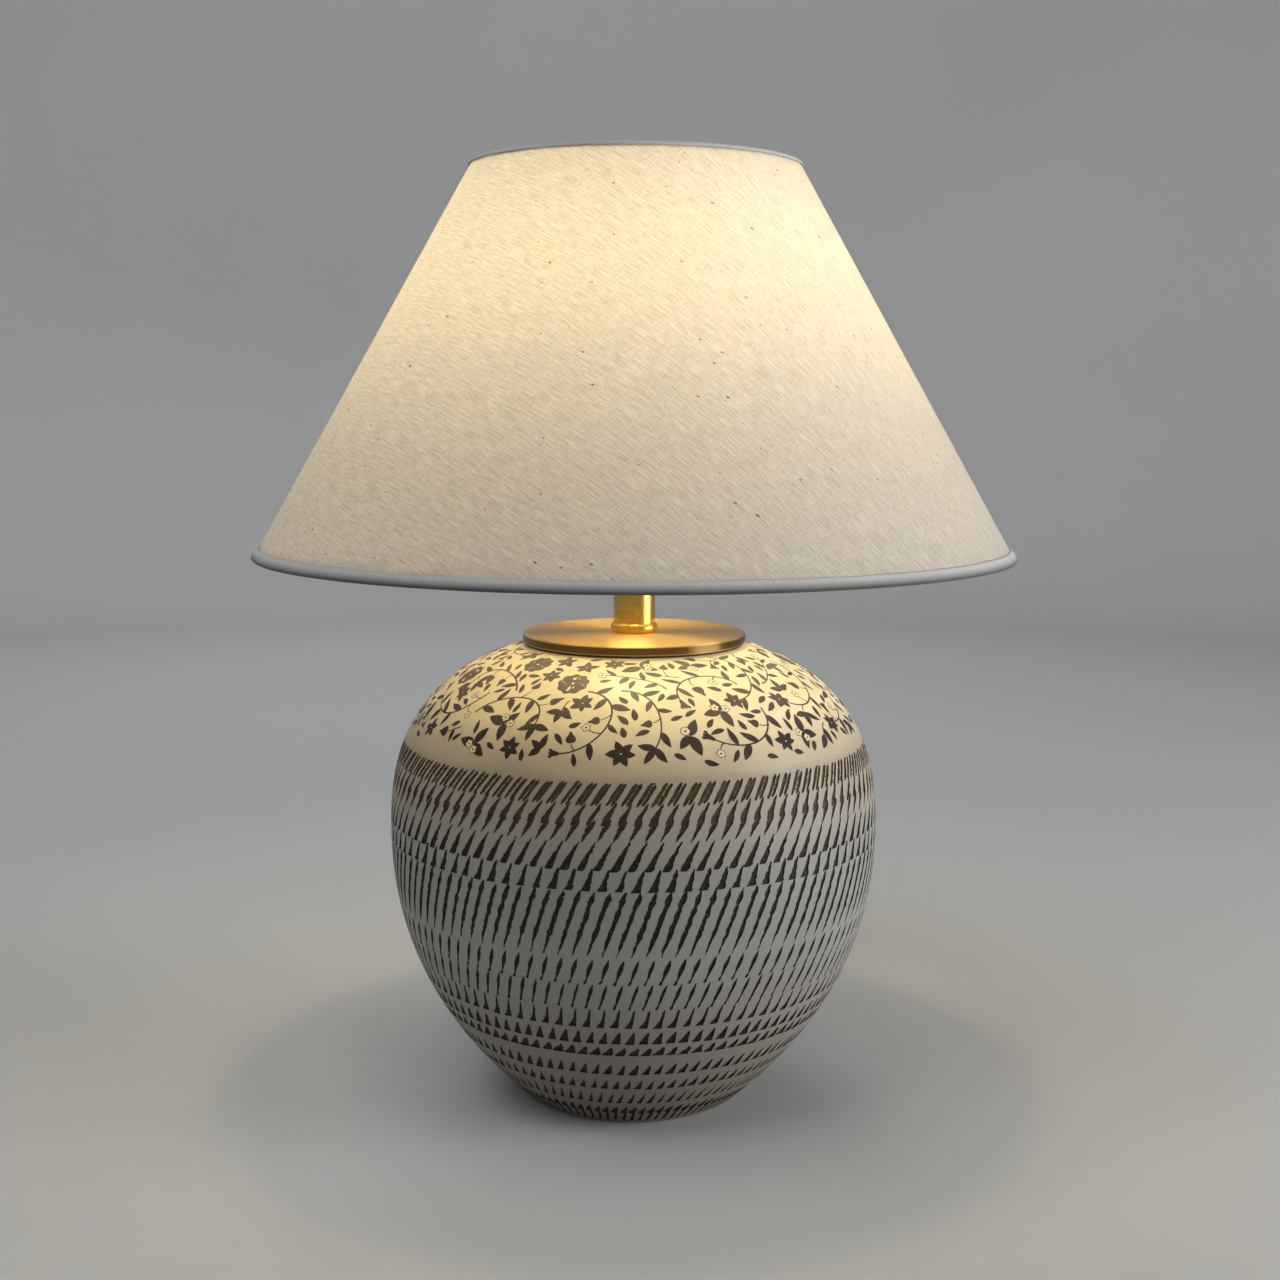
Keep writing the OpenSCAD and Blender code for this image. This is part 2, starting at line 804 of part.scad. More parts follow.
foot_pad();
vase();
cord_grommet();
base_washer();
lock_washer();
base_nut();
threaded_rod();
mouth_gasket();
cap_plate();
column_collar();
column_tube();
column_cap();
harp_saddle();
saddle_nut();
socket_cap();
socket_shell();
socket_liner();
socket_core();
screw_shell();
centre_contact();
terminal_screws();
bulb_tip();
bulb_insulator();
bulb_cap();
bulb_housing();
led_board();
bulb_globe();
harp_bow();
harp_stud();
ferrule_left();
ferrule_right();
spider_washer();
spider_arms();
finial();
shade_fabric();
shade_liner();
top_ring();
bottom_ring();
top_hem();
bottom_hem();
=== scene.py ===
"""The looks of a table lamp: a carved and printed stoneware vase, turned brass and a linen shade.

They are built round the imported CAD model, in its frame: the front is -Y and the lamp stands on z = 0.
Shapes are worked out in millimetres, and placed() turns them into metres.
"""

import math

import bpy
import numpy as np
from mathutils import Matrix
from mathutils.geometry import delaunay_2d_cdt

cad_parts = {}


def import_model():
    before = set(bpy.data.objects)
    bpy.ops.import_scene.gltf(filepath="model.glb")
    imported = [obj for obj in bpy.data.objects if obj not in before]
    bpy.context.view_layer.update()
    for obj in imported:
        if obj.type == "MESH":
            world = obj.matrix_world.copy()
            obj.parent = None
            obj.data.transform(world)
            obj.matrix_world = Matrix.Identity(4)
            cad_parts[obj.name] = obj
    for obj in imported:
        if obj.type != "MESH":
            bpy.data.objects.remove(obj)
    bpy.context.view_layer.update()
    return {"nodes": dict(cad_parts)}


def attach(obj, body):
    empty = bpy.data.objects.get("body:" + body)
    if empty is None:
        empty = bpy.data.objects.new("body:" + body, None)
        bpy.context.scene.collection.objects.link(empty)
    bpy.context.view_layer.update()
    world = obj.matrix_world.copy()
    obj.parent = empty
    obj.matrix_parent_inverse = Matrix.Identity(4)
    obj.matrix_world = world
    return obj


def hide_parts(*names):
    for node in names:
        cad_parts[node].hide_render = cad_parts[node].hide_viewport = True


TURN = 2 * math.pi

# Vase, as in the CAD source
BELLY_R = 147.4
BELLY_Z = 166.0
FOOT_R = 68.4
FOOT_Z = 1.0
MOUTH_Z = 276.0
LAND_R = 66.0
MOUTH_R = 42.0
WALL = 7.0
FOOT_RECESS_R = 58.0
FLOOR_Z = 21.0
INSIDE_FLOOR_Z = 29.0
FLOOR_HOLE_R = 6.0
CORD_HOLE_R = 5.05
CORD_HOLE_Z = 11.0
SHOULDER_POWER = 2.5
SQUARE_SHARE = 0.69
SHOULDER_H = (MOUTH_Z - BELLY_Z) / (1 - (LAND_R / BELLY_R) ** SHOULDER_POWER) ** (1 / SHOULDER_POWER)

# Shade, as in the CAD source
SHADE_Z = 330.0
SHADE_TOP = 558.0
SHADE_R = 225.0
SHADE_TOP_R = 96.0
SHADE_SLOPE = (SHADE_R - SHADE_TOP_R) / (SHADE_TOP - SHADE_Z)
SHADE_COS = 1 / math.sqrt(1 + SHADE_SLOPE**2)
FABRIC_IN = 0.7
HEM_T = 0.6
SHADE_SIDES = 288

# What each uneven piece's random draws start from
SEEDS = {"vase": 11, "print": 5, "linen": 3, "hem_bottom": 21, "hem_top": 22, "felt": 8}


# -------------------------------- meshes


def placed(name, points, faces, materials, kinds=None, uvs=None):
    """A smooth mesh object from points in millimetres. kinds is a material per face, uvs a row per corner."""
    mesh = bpy.data.meshes.new(name)
    mesh.from_pydata((np.asarray(points, float) * 0.001).tolist(), [], [list(map(int, f)) for f in faces])
    for m in materials:
        mesh.materials.append(m)
    if kinds is not None:
        mesh.polygons.foreach_set("material_index", np.asarray(kinds, np.int32))
    mesh.polygons.foreach_set("use_smooth", np.ones(len(mesh.polygons), bool))
    if uvs is not None:
        layer = mesh.uv_layers.new(name="flat")
        layer.data.foreach_set("uv", np.asarray(uvs, np.float32).ravel())
    mesh.update()
    piece = bpy.data.objects.new(name, mesh)
    bpy.context.scene.collection.objects.link(piece)
    return piece


def vase_radius(z):
    """The vase's outer radius at height z, in millimetres."""
    z = np.asarray(z, float)
    down = np.clip((BELLY_Z - z) / (BELLY_Z - FOOT_Z), 0, 1)
    low = BELLY_R - (BELLY_R - FOOT_R) * (SQUARE_SHARE * down**2 + (1 - SQUARE_SHARE) * down**3)
    return np.where(z < BELLY_Z, low, shoulder(z, BELLY_R, SHOULDER_H))


def shoulder(z, across, up):
    """The superellipse of the vase's upper half."""
    share = np.clip((np.asarray(z, float) - BELLY_Z) / up, 0, 1)
    return across * (1 - share**SHOULDER_POWER) ** (1 / SHOULDER_POWER)


def on_vase(angle, z, out=0.0):
    """Points on the vase's skin, out millimetres proud of it."""
    angle, z = np.broadcast_arrays(np.asarray(angle, float), np.asarray(z, float))
    step = 0.01
    slope = (vase_radius(z + step) - vase_radius(z - step)) / (2 * step)
    k = 1 / np.sqrt(1 + slope**2)
    r = vase_radius(z) + out * k
    return np.stack([r * np.cos(angle), r * np.sin(angle), z - out * slope * k], -1)


def revolved(profile, sides, closed=False):
    """Rings of points and quads for a profile of (r, z) rows, from the inside of the wall to its outside."""
    profile = np.asarray(profile, float)
    a = np.arange(sides) * TURN / sides
    r, z = profile[:, :1], profile[:, 1:]
    points = np.stack([r * np.cos(a), r * np.sin(a), z + 0 * a], -1).reshape(-1, 3)
    rows = len(profile) if closed else len(profile) - 1
    i, j = np.meshgrid(np.arange(rows), np.arange(sides), indexing="ij")
    i2, j2 = (i + 1) % len(profile), (j + 1) % sides
    faces = np.stack([i * sides + j, i * sides + j2, i2 * sides + j2, i2 * sides + j], -1).reshape(-1, 4)
    return points, faces


# How near two corners have to be for joined() to make them one
MERGE = 0.004


def joined(parts):
    """Points, faces and face kinds from several (points, faces, kind) parts. Corners that meet are merged."""
    points, faces, kinds, start = [], [], [], 0
    for p, f, kind in parts:
        points.append(p)
        faces += [[int(i) + start for i in face] for face in f]
        kinds += [kind] * len(f)
        start += len(p)
    points = np.vstack(points)
    cells = np.round(points / MERGE).astype(np.int64)
    _, first, index = np.unique(cells, axis=0, return_index=True, return_inverse=True)
    index = index.ravel()
    merged, kept = [], []
    for face, kind in zip(faces, kinds):
        ring = [index[i] for i in face]
        ring = [v for n, v in enumerate(ring) if v != ring[n - 1]]
        if len(ring) > 2:
            merged.append(ring)
            kept.append(kind)
    return points[first], merged, kept


# -------------------------------- the vase's cut marks

SIDES = 216
ROUND = TURN * BELLY_R

# Where faces meet at more than this angle, the edge is sharp
SHARP = math.radians(38)

# The cuts' upper limit and depth, the step along an outline, the least half width and the top row's gap
CUT_TOP = 222.0
CUT_DEPTH = 0.75
CUT_STEP = 1.9
CUT_LEAST = 0.05
LADDER_GAP = 3.4

# A mark's half widths to the left and right, in millimetres, from its lower end (0) to its upper end (1)
DASH = ((0, 0.4, 0.4), (0.12, 0.9, 0.9), (0.5, 1.1, 1.1), (0.88, 1.0, 1.0), (1, 0.3, 0.4))
NECK = (
    (0, 0.7, 0.8), (0.1, 1.2, 1.2), (0.3, 1.8, 1.6), (0.5, 1.4, 1.3), (0.75, 0.95, 0.9), (0.9, 0.6, 0.6),
    (1, 0.25, 0.3),
)
DART = (
    (0, 0.15, 0.2), (0.2, 0.7, 0.7), (0.45, 1.2, 1.1), (0.65, 1.6, 1.5), (0.8, 1.3, 1.3), (0.93, 0.8, 0.8),
    (1, 0.3, 0.3),
)
CLUB = ((0, 1.7, 1.8), (0.1, 2.0, 2.2), (0.3, 1.7, 1.6), (0.6, 1.2, 1.1), (0.85, 0.7, 0.7), (1, 0.2, 0.25))
FLAG = ((0, 2.7, 2.0), (0.12, 2.1, 1.8), (0.35, 1.5, 1.4), (0.6, 1.1, 1.0), (0.85, 0.8, 0.7), (1, 0.4, 0.4))
BLADE = (
    (0, 0.2, 0.2), (0.08, 0.5, 0.5), (0.25, 1.0, 1.0), (0.36, 1.4, 1.3), (0.5, 1.1, 1.1), (0.65, 1.4, 1.3),
    (0.75, 1.1, 1.0), (0.87, 1.6, 1.5), (0.95, 1.0, 0.9), (1, 0.4, 0.3),
)
HOOK = (
    (0, 1.0, 0.4), (0.08, 0.9, 0.5), (0.2, 0.35, 0.4), (0.42, 0.85, 0.85), (0.62, 1.25, 1.2),
    (0.82, 0.9, 0.9), (1, 0.15, 0.25),
)
THORN = (
    (0, 0.7, 0.6), (0.08, 0.7, 0.6), (0.18, 0.45, 0.45), (0.5, 0.8, 0.8), (0.7, 1.0, 0.95),
    (0.88, 0.6, 0.6), (1, 0.15, 0.2),
)
BOOT = ((0, 2.9, 1.0), (0.07, 2.7, 1.1), (0.25, 1.6, 1.0), (0.45, 0.8, 0.8), (0.8, 0.55, 0.6), (1, 0.2, 0.3))
WEDGE = ((0, 3.6, 0.8), (0.12, 3.3, 0.85), (0.5, 2.1, 0.6), (0.85, 0.9, 0.6), (1, 0.35, 0.3))
SMUDGE = ((0, 4.6, 0.9), (0.12, 4.0, 1.1), (0.6, 2.0, 1.0), (1, 0.5, 0.6))
TOOTH = ((0, 3.3, 0.8), (0.12, 2.9, 0.85), (0.5, 1.7, 0.7), (0.85, 0.7, 0.6), (1, 0.25, 0.25))
CHIP = ((0, 2.8, 0.8), (0.15, 2.4, 0.85), (0.5, 1.3, 0.7), (1, 0.2, 0.25))
SPIKE = ((0, 1.8, 0.7), (0.15, 1.4, 0.75), (0.5, 0.8, 0.6), (1, 0.1, 0.15))
BARB = (
    (0, 0.6, 0.7), (0.2, 0.7, 0.7), (0.5, 0.55, 0.7), (0.6, 3.0, 0.7), (0.68, 2.6, 0.7), (0.85, 1.1, 0.7),
    (1, 0.1, 0.2),
)

# Each row of cuts: its lower and upper end, how far a cut leans, the number of cuts in the round, their form,
# how far the row is turned, as a share of one cut's room, and how ragged they are
CUT_ROWS = (
    (208.0, 220.0, 0.66, 108, DASH, 0.264, 0.14),
    (208.2, 219.6, 0.66, 108, DASH, 0.664, 0.14),
    (197.6, 209.4, 0.60, 108, NECK, 0.1, 0.2),
    (188.9, 201.0, 0.60, 108, DART, 0.72, 0.2),
    (173.5, 189.4, 0.53, 101, CLUB, 0.715, 0.24),
    (162.4, 174.6, 0.31, 101, FLAG, 0.945, 0.24),
    (125.1, 162.3, 0.36, 112, BLADE, 0.95, 0.26),
    (108.5, 123.8, 0.33, 106, HOOK, 0.36, 0.12),
    (93.0, 108.7, 0.32, 110, THORN, 0.25, 0.12),
    (80.5, 92.6, 0.20, 103, BOOT, 0.11, 0.1),
    (69.2, 77.4, 0.10, 106, WEDGE, 0.52, 0.12),
    (60.7, 66.7, 0.15, 105, SMUDGE, 0.09, 0.3),
    (45.8, 53.7, 0.20, 100, TOOTH, 0.21, 0.12),
    (33.6, 40.8, 0.20, 100, CHIP, 0.58, 0.12),
    (20.5, 29.6, 0.31, 98, SPIKE, 0.27, 0.1),
    (2.9, 16.4, 0.20, 97, BARB, 0.65, 0.1),
)


def cut_outline(x, low, high, lean, form, rag, rng):
    """One cut's outline on the unrolled vase, where x is the angle times the belly's radius."""
    share, left, right = np.array(form).T
    steps = np.linspace(0, 1, max(2, round((high - low) / CUT_STEP)) + 1)
    t = np.unique(np.round(np.concatenate([share, steps]), 3))
    z = low + (high - low) * t
    stretch = BELLY_R / vase_radius(z)
    middle = x + lean * (z - low) * stretch
    wide = rng.uniform(0.98, 1.28)
    shake = rag * rng.standard_normal((2, len(t)))
    left_edge = middle - np.maximum(np.interp(t, share, left) * wide + shake[0], CUT_LEAST) * stretch
    right_edge = middle + np.maximum(np.interp(t, share, right) * wide + shake[1], CUT_LEAST) * stretch
    return np.vstack([np.c_[right_edge, z], np.c_[left_edge, z][::-1]])


def cut_outlines(rng):
    """All cuts, once round the vase."""
    outlines = []
    for low, high, lean, count, form, shift, rag in CUT_ROWS:
        waves = rng.uniform(0, TURN, 4)
        for k in range(count):
            a = TURN * k / count
            drift = math.sin(3 * a + waves[0]) + 0.6 * math.sin(7 * a + waves[1])
            longer = 0.35 * math.sin(4 * a + waves[2]) + 0.3 * math.sin(11 * a + waves[3])
            x = (k + shift) * ROUND / count + 0.35 * drift + rng.normal(0, 0.16)
            foot = low + 0.4 * longer + rng.normal(0, 0.16)
            top = high + 0.35 * longer + rng.normal(0, 0.22)
            outline = cut_outline(x, foot, min(top, CUT_TOP - 1), lean, form, rag, rng)
            outlines.append(outline)
            if form is DASH and shift < 0.5:
                outlines += cut_ticks(outline, lean, rng)
    return outlines


def cut_ticks(outline, lean, rng):
    """The short scratches that join the two strokes of a cut in the top row."""
    ticks = []
    x0, z0 = outline[0]
    top = outline[:, 1].max()
    for z in np.arange(z0 + 1.2, top - 1.0, 1.0):
        if rng.random() < 0.5 + 0.5 * (z - z0) / (top - z0):
            x = x0 - 0.4 + (lean + 0.02) * (z - z0)
            w, h = rng.uniform(0.4, 1.05) * LADDER_GAP, rng.uniform(0.3, 0.75)
            ticks.append(np.array([[x, z], [x + w, z + 0.35], [x + w, z + 0.35 + h], [x, z + h]]))
    return ticks


def hole_outline(radius, r_at, count=20):
    """Where a bore along +Y, radius wide, comes through a round wall: rows of angle and z, anticlockwise."""
    t = np.arange(count) * TURN / count
    z = CORD_HOLE_Z + radius * np.sin(t)
    return np.c_[np.arccos(-radius * np.cos(t) / r_at(z)), z]


# The skin's loose points: the space between rows, the columns, the scatter and the columns that lap over the seam
GRID_STEP = 4.6
GRID_COLUMNS = 108
GRID_SHAKE = 0.9
GRID_LAP = 8
SEAM = ROUND * 4 / 104

# How near a cut may come to the middle of the cord's bore, and how many times as far off it stays sideways
BORE_CLEAR = 6.4
BORE_WIDER = 2.6

# What still counts as inside the skin's edges, and how near points are taken as one when it is meshed
EDGE_SLACK = 1e-6
MESH_SLACK = 1e-4


def cut_loops(rng):
    """Closed loops on the unrolled vase: the cord's bore, then each cut, twice where it is near the seam."""
    bore = hole_outline(CORD_HOLE_R, vase_radius)
    bore_middle = np.array([BELLY_R * TURN / 4, CORD_HOLE_Z])
    loops = [np.c_[bore[:, 0] * BELLY_R, bore[:, 1]]]
    for cut in cut_outlines(rng):
        if np.abs((cut - bore_middle) / [BORE_WIDER, 1]).max(1).min() <= BORE_CLEAR:
            continue
        cut = cut - [math.floor(cut[:, 0].min() / ROUND) * ROUND, 0]
        loops.append(cut)
        if cut[:, 0].min() < SEAM:
            loops.append(cut + [ROUND, 0])
        if cut[:, 0].max() > ROUND - SEAM:
            loops.append(cut - [ROUND, 0])
    return loops


def skin_grid(rng):
    """Loose points all over the unrolled skin, and even ones along its lower and upper edges."""
    grid = []
    for z in np.arange(FOOT_Z + 4, CUT_TOP - 2, GRID_STEP):
        row = np.c_[(np.arange(GRID_COLUMNS) + 0.5) * ROUND / GRID_COLUMNS, np.full(GRID_COLUMNS, z)]
        row += rng.uniform(-GRID_SHAKE, GRID_SHAKE, row.shape)
        grid += [row, row[:GRID_LAP] + [ROUND, 0], row[-GRID_LAP:] - [ROUND, 0]]
    for z in (FOOT_Z, CUT_TOP):
        x = np.arange(-GRID_LAP, SIDES + GRID_LAP + 1) * ROUND / SIDES
        grid.append(np.c_[x, np.full(len(x), z)])
    return np.vstack(grid)


def rim(faces):
    """The edges that only one of the triangles has, in its direction."""
    edges = dict.fromkeys(e for a, b, c in faces for e in ((a, b), (b, c), (c, a)))
    return [(a, b) for a, b in edges if (b, a) not in edges]


def skin_parts(rng):
    """The outer skin below the printed shoulder, with every cut let into it and the cord's bore left open."""
    loops = cut_loops(rng)
    starts = np.cumsum([0] + [len(loop) for loop in loops])
    rings = [list(range(s, s + len(loop))) for s, loop in zip(starts, loops)]
    points = np.vstack([*loops, skin_grid(rng)])
    flat, _, faces, _, _, owners = delaunay_2d_cdt(points.tolist(), [], rings, 0, MESH_SLACK)
    flat, faces = np.array([tuple(p) for p in flat]), np.array(faces)
    open_skin, in_cut, in_bore = 0, 1, 2
    held = np.array([in_bore if 0 in o else in_cut if o else open_skin for o in owners])
    x, z = flat[faces, 0].min(1), flat[faces, 1]
    inside = (z.min(1) >= FOOT_Z - EDGE_SLACK) & (z.max(1) <= CUT_TOP + EDGE_SLACK)
    keep = inside & (x >= 0) & (x < ROUND - 1e-9) & (held != in_bore)
    faces, held = faces[keep], held[keep]
    angle, z = flat[:, 0] / BELLY_R, flat[:, 1]
    deep = CUT_DEPTH * (0.85 + 0.25 * np.sin(z * 0.9) * np.sin(angle * 31))
    top, low = on_vase(angle, z), on_vase(angle, z, -deep)
    skin, floor = faces[held == open_skin], faces[held == in_cut]
    n = len(flat)
    walls = [(a, b, b + n, a + n) for a, b in rim(floor)]
    return [(top, skin, 0), (low, floor, 1), (np.vstack([top, low]), walls, 1)]


def on_recess(spots):
    """Points on the foot ring's inner wall, from rows of angle and z."""
    return np.c_[FOOT_RECESS_R * np.cos(spots[:, 0]), FOOT_RECESS_R * np.sin(spots[:, 0]), spots[:, 1]]


def bore_parts():
    """The cord's bore: the foot ring's inner wall round it, and the short tube to the outer skin."""
    inner = hole_outline(CORD_HOLE_R, lambda z: FOOT_RECESS_R)
    outer = hole_outline(CORD_HOLE_R, vase_radius)
    count = len(inner)
    a = np.arange(SIDES) * TURN / SIDES
    rows = [np.c_[a, np.full(SIDES, z)] for z in (FOOT_Z, FLOOR_Z)]
    points = np.vstack([inner, *rows, [[TURN, FOOT_Z], [TURN, FLOOR_Z]]]) * [FOOT_RECESS_R, 1]
    flat, _, faces, _, _, owners = delaunay_2d_cdt(points.tolist(), [], [list(range(count))], 0, MESH_SLACK)
    flat = np.array([tuple(p) for p in flat]) / [FOOT_RECESS_R, 1]
    wall = [f[::-1] for f, o in zip(faces, owners) if not o]
    tube = [(i, i + count, (i + 1) % count + count, (i + 1) % count) for i in range(count)]
    return [(on_recess(flat), wall, 0), (np.vstack([on_recess(inner), on_vase(*outer.T)]), tube, 0)]


UPPER_ROWS = 26
INSIDE_ROWS = 24
RIM_EASE = 0.8


def make_vase(body, cut):
    """The vase as one piece: cut skin, shoulder, mouth, inside and foot."""
    rng = np.random.default_rng(SEEDS["vase"])
    z = np.interp(np.linspace(0, 1, UPPER_ROWS), *shoulder_table(CUT_TOP)[:2])
    upper = np.c_[vase_radius(z), z]
    inner_top = MOUTH_Z - WALL
    dome = BELLY_Z + (inner_top - BELLY_Z) * np.sin(np.linspace(math.pi / 2, 0, INSIDE_ROWS))[1:]
    bowl = np.linspace(BELLY_Z, INSIDE_FLOOR_Z, INSIDE_ROWS)[1:]
    inside = np.vstack([
        [[LAND_R, MOUTH_Z], [MOUTH_R + RIM_EASE, MOUTH_Z], [MOUTH_R, MOUTH_Z - RIM_EASE], [MOUTH_R, inner_top]],
        np.c_[shoulder(dome, BELLY_R - WALL, SHOULDER_H - WALL), dome],
        np.c_[vase_radius(bowl) - WALL, bowl],
        [[FLOOR_HOLE_R, INSIDE_FLOOR_Z], [FLOOR_HOLE_R, FLOOR_Z], [FOOT_RECESS_R, FLOOR_Z]],
    ])
    foot = [[FOOT_RECESS_R, FOOT_Z], [FOOT_R, FOOT_Z]]
    parts = skin_parts(rng) + bore_parts()
    for profile in (upper, inside, foot):
        points, faces = revolved(profile, SIDES)
        parts.append((points, faces, 0))
    points, faces, kinds = joined(parts)
    vase = placed("vase_body", points, faces, [body, cut], kinds)
    vase.data.set_sharp_from_angle(angle=SHARP)
    return vase


# -------------------------------- the vase's printed shoulder


def shoulder_table(start):
    """Shares of the way up from start to the mouth, their heights, and the whole way in millimetres."""
    t = np.linspace(0, 1, 400)
    z = start + (MOUTH_Z - start) * np.sin(t * math.pi / 2)
    z[-1] = MOUTH_Z
    way = np.concatenate([[0], np.cumsum(np.hypot(np.diff(z), np.diff(vase_radius(z))))])
    return way / way[-1], z, way[-1]


# The print's lowest height, how proud of the glaze its first layer lies, and what each layer and shape adds
PRINT_LOW = 226.6
PRINT_OUT = 0.07
PRINT_LAYER = 0.05
PRINT_STAGGER = 0.003

# The motifs' scale and distance from the mouth, the cells that mark taken room, and the models of each kind
PRINT_SCALE = 1.2
MOUTH_GAP = 1.2
CELL = 0.5
MODELS = 36


class Shoulder:
    """The printed shoulder, unrolled: p runs round it and q up it, both in millimetres."""

    def __init__(self):
        share, self.z, self.length = shoulder_table(PRINT_LOW)
        self.way = share * self.length
        self.taken = np.zeros((int(self.length / CELL) + 2, int(ROUND / CELL)), bool)

    def place(self, local, at):
        """Angle and z of local (p, q) points, for a motif that sits at angle and way."""
        q = at[1] + local[:, 1]
        z = np.interp(q, self.way, self.z)
        return np.c_[at[0] + local[:, 0] / vase_radius(z), z], q

    def cells(self, angle, q):
        """Rows and columns of the cells that points lie in."""
        rows = np.clip((q / CELL).astype(int), 0, self.taken.shape[0] - 1)
        columns = (np.mod(angle, TURN) / TURN * self.taken.shape[1]).astype(int) % self.taken.shape[1]
        return rows, columns

    def fits(self, angle, q):
        """Whether a motif with these points stays in the field, clear of the others."""
        if q.min() < 0 or q.max() > self.length - MOUTH_GAP:
            return False
        rows, columns = self.cells(angle, q)
        return not self.taken[rows, columns].any()

    def take(self, angle, q, z, gap):
        """Marks the room that a motif needs, gap millimetres round each of its points."""
        for dq in np.arange(-gap, gap + 0.01, CELL):
            reach = math.sqrt(max(gap * gap - dq * dq, 0))
            for dp in np.arange(-reach, reach + 0.01, CELL):
                rows, columns = self.cells(angle + dp / vase_radius(z), q + dq)
                self.taken[rows, columns] = True


def turned(points, degrees, scale=1.0, move=(0.0, 0.0)):
    """Points turned clockwise, then scaled, then moved."""
    a = math.radians(degrees)
    spin = np.array([[math.cos(a), -math.sin(a)], [math.sin(a), math.cos(a)]])
    return points @ spin * scale + np.array(move)


def strip(middle, half):
    """A band along a line of points, half as wide as half says at each point."""
    ahead = np.gradient(middle, axis=0)
    ahead /= np.linalg.norm(ahead, axis=1)[:, None]
    side = np.c_[-ahead[:, 1], ahead[:, 0]] * np.asarray(half)[:, None]
    points = np.vstack([middle + side, middle - side])
    n = len(middle)
    return points, [(i + 1, i, i + n, i + n + 1) for i in range(n - 1)]


def fan(outline, centre=(0.0, 0.0)):
    """Triangles from an outline to its centre."""
    n = len(outline)
    return np.vstack([outline, [centre]]), [((i + 1) % n, i, n) for i in range(n)]


def leaf(length, width, bend):
    """A pointed leaf from (0, 0) upwards."""
    t = np.linspace(0, 1, 10)
    middle = np.c_[bend * length * t**2, length * t]
    half = width / 2 * np.sin(math.pi * t**0.8) ** 0.85
    half[[0, -1]] = 0.06
    return [("ink", *strip(middle, half))]


def stem(points, wide):
    """A stalk along a line, a little thinner at its tip."""
    taper = np.linspace(wide, wide * 0.7, len(points))
    return [("ink", *strip(points, taper))]


def petals(radius, count, deep, sharp, turn, steps):
    """A round outline of so many petals. deep is how far they are parted, and sharp how pointed they are."""
    a = np.arange(steps) * TURN / steps
    r = radius * (1 - deep + deep * (0.5 + 0.5 * np.cos(count * a)) ** sharp)
    return turned(np.c_[r * np.sin(a), r * np.cos(a)], turn)


def star_flower(radius, rng):
    """A flower of five or six pointed petals that meet in the middle."""
    count = rng.integers(5, 7)
    shapes = []
    for k in range(count):
        size = radius * rng.uniform(0.86, 1.08)
        shapes += moved(leaf(size, size * 0.56, rng.uniform(-0.14, 0.14)), 360 * k / count + rng.uniform(-7, 7))
    heart, eye = fan(petals(radius * 0.3, 5, 0.1, 1, 0, 10)), fan(petals(0.45, 5, 0.2, 1, 0, 10))
    return shapes + [("ink", *heart), ("pale", *eye)]


def round_flower(radius, rng):
    """A full flower with a scalloped edge, a small pale eye and a few pale lines between its petals."""
    spin = rng.uniform(0, 360)
    shapes = [("ink", *fan(petals(radius, 9, 0.12, 0.5, spin, 72)))]
    shapes.append(("pale", *fan(petals(radius * 0.1, 6, 0.15, 1, 0, 12))))
    for k in range(4):
        t = np.linspace(0.35, rng.uniform(0.75, 0.95), 7)
        a = math.radians(spin + 90 * k) + 0.9 * t
        line = np.c_[radius * t * np.sin(a), radius * t * np.cos(a)]
        shapes.append(("pale", *strip(line, np.interp(t, [0.35, 0.6, 0.95], [0.04, 0.13, 0.06]))))
    return shapes


def blossom(radius):
    """A small pale blossom with an inked edge and eye."""
    edge = petals(radius, 5, 0.3, 0.7, 0, 30)
    inner = petals(radius - 0.4, 5, 0.3, 0.7, 0, 30)
    return [("ink", *fan(edge)), ("pale", *fan(inner)), ("eye", *fan(petals(radius * 0.25, 5, 0.3, 1, 36, 10)))]


def bell(size):
    """A bell that widens to a lip of three lobes, mouth upwards."""
    t = np.array([0, 0.12, 0.35, 0.6, 0.82, 1.0])
    half = size * np.array([0.1, 0.22, 0.3, 0.36, 0.5, 0.62])
    shapes = [("ink", *strip(np.c_[0 * t, size * 1.25 * t], half))]
    for x in (-0.45, 0, 0.45):
        middle = (x * size, size * 1.27)
        shapes.append(("ink", *fan(petals(size * 0.24, 3, 0.2, 1, 0, 10) + middle, middle)))
    return shapes


def berry(radius):
    """A round bud with a short tip."""
    bud = fan(petals(radius, 3, 0.16, 1, 0, 24) + [0, radius], (0, radius))
    return [("ink", *bud)] + moved(leaf(radius * 1.1, radius * 0.7, 0), 0, 1, (0, radius * 1.5))


def moved(shapes, degrees, scale=1.0, move=(0.0, 0.0)):
    """Shapes as turned() turns their points."""
    return [(kind, turned(points, degrees, scale, move), faces) for kind, points, faces in shapes]


def curve(length, turn, sway, phase, steps):
    """A line from (0, 0) that sets off upwards and turns steadily, swaying a little, and its heading."""
    t = np.linspace(0, 1, steps)
    heading = turn * t + sway * (np.sin(t * 6 + phase) - math.sin(phase))
    pace = np.c_[np.sin(heading), np.cos(heading)] * length / (steps - 1)
    return np.vstack([[0, 0], np.cumsum(pace[:-1], axis=0)]), heading


def ending(kind, rng):
    """What a stem ends in, as it stands on the stem's tip."""
    if kind == "star":
        return moved(star_flower(rng.uniform(5.2, 6.4), rng), rng.uniform(0, 60), 1, (0, 3.2))
    if kind == "leaf":
        return leaf(rng.uniform(8.4, 10.6), rng.uniform(3.4, 4.2), rng.uniform(-0.2, 0.2))
    if kind == "leaves":
        return [s for way in (-62, 0, 58) for s in moved(leaf(rng.uniform(6.6, 9.2), 3.5, way / 400), way)]
    if kind == "blossom":
        return moved(blossom(2.4), rng.uniform(0, 72), 1, (0, 2.0))
    if kind == "bell":
        return bell(rng.uniform(3.4, 4.2))
    return berry(rng.uniform(2.2, 2.9))


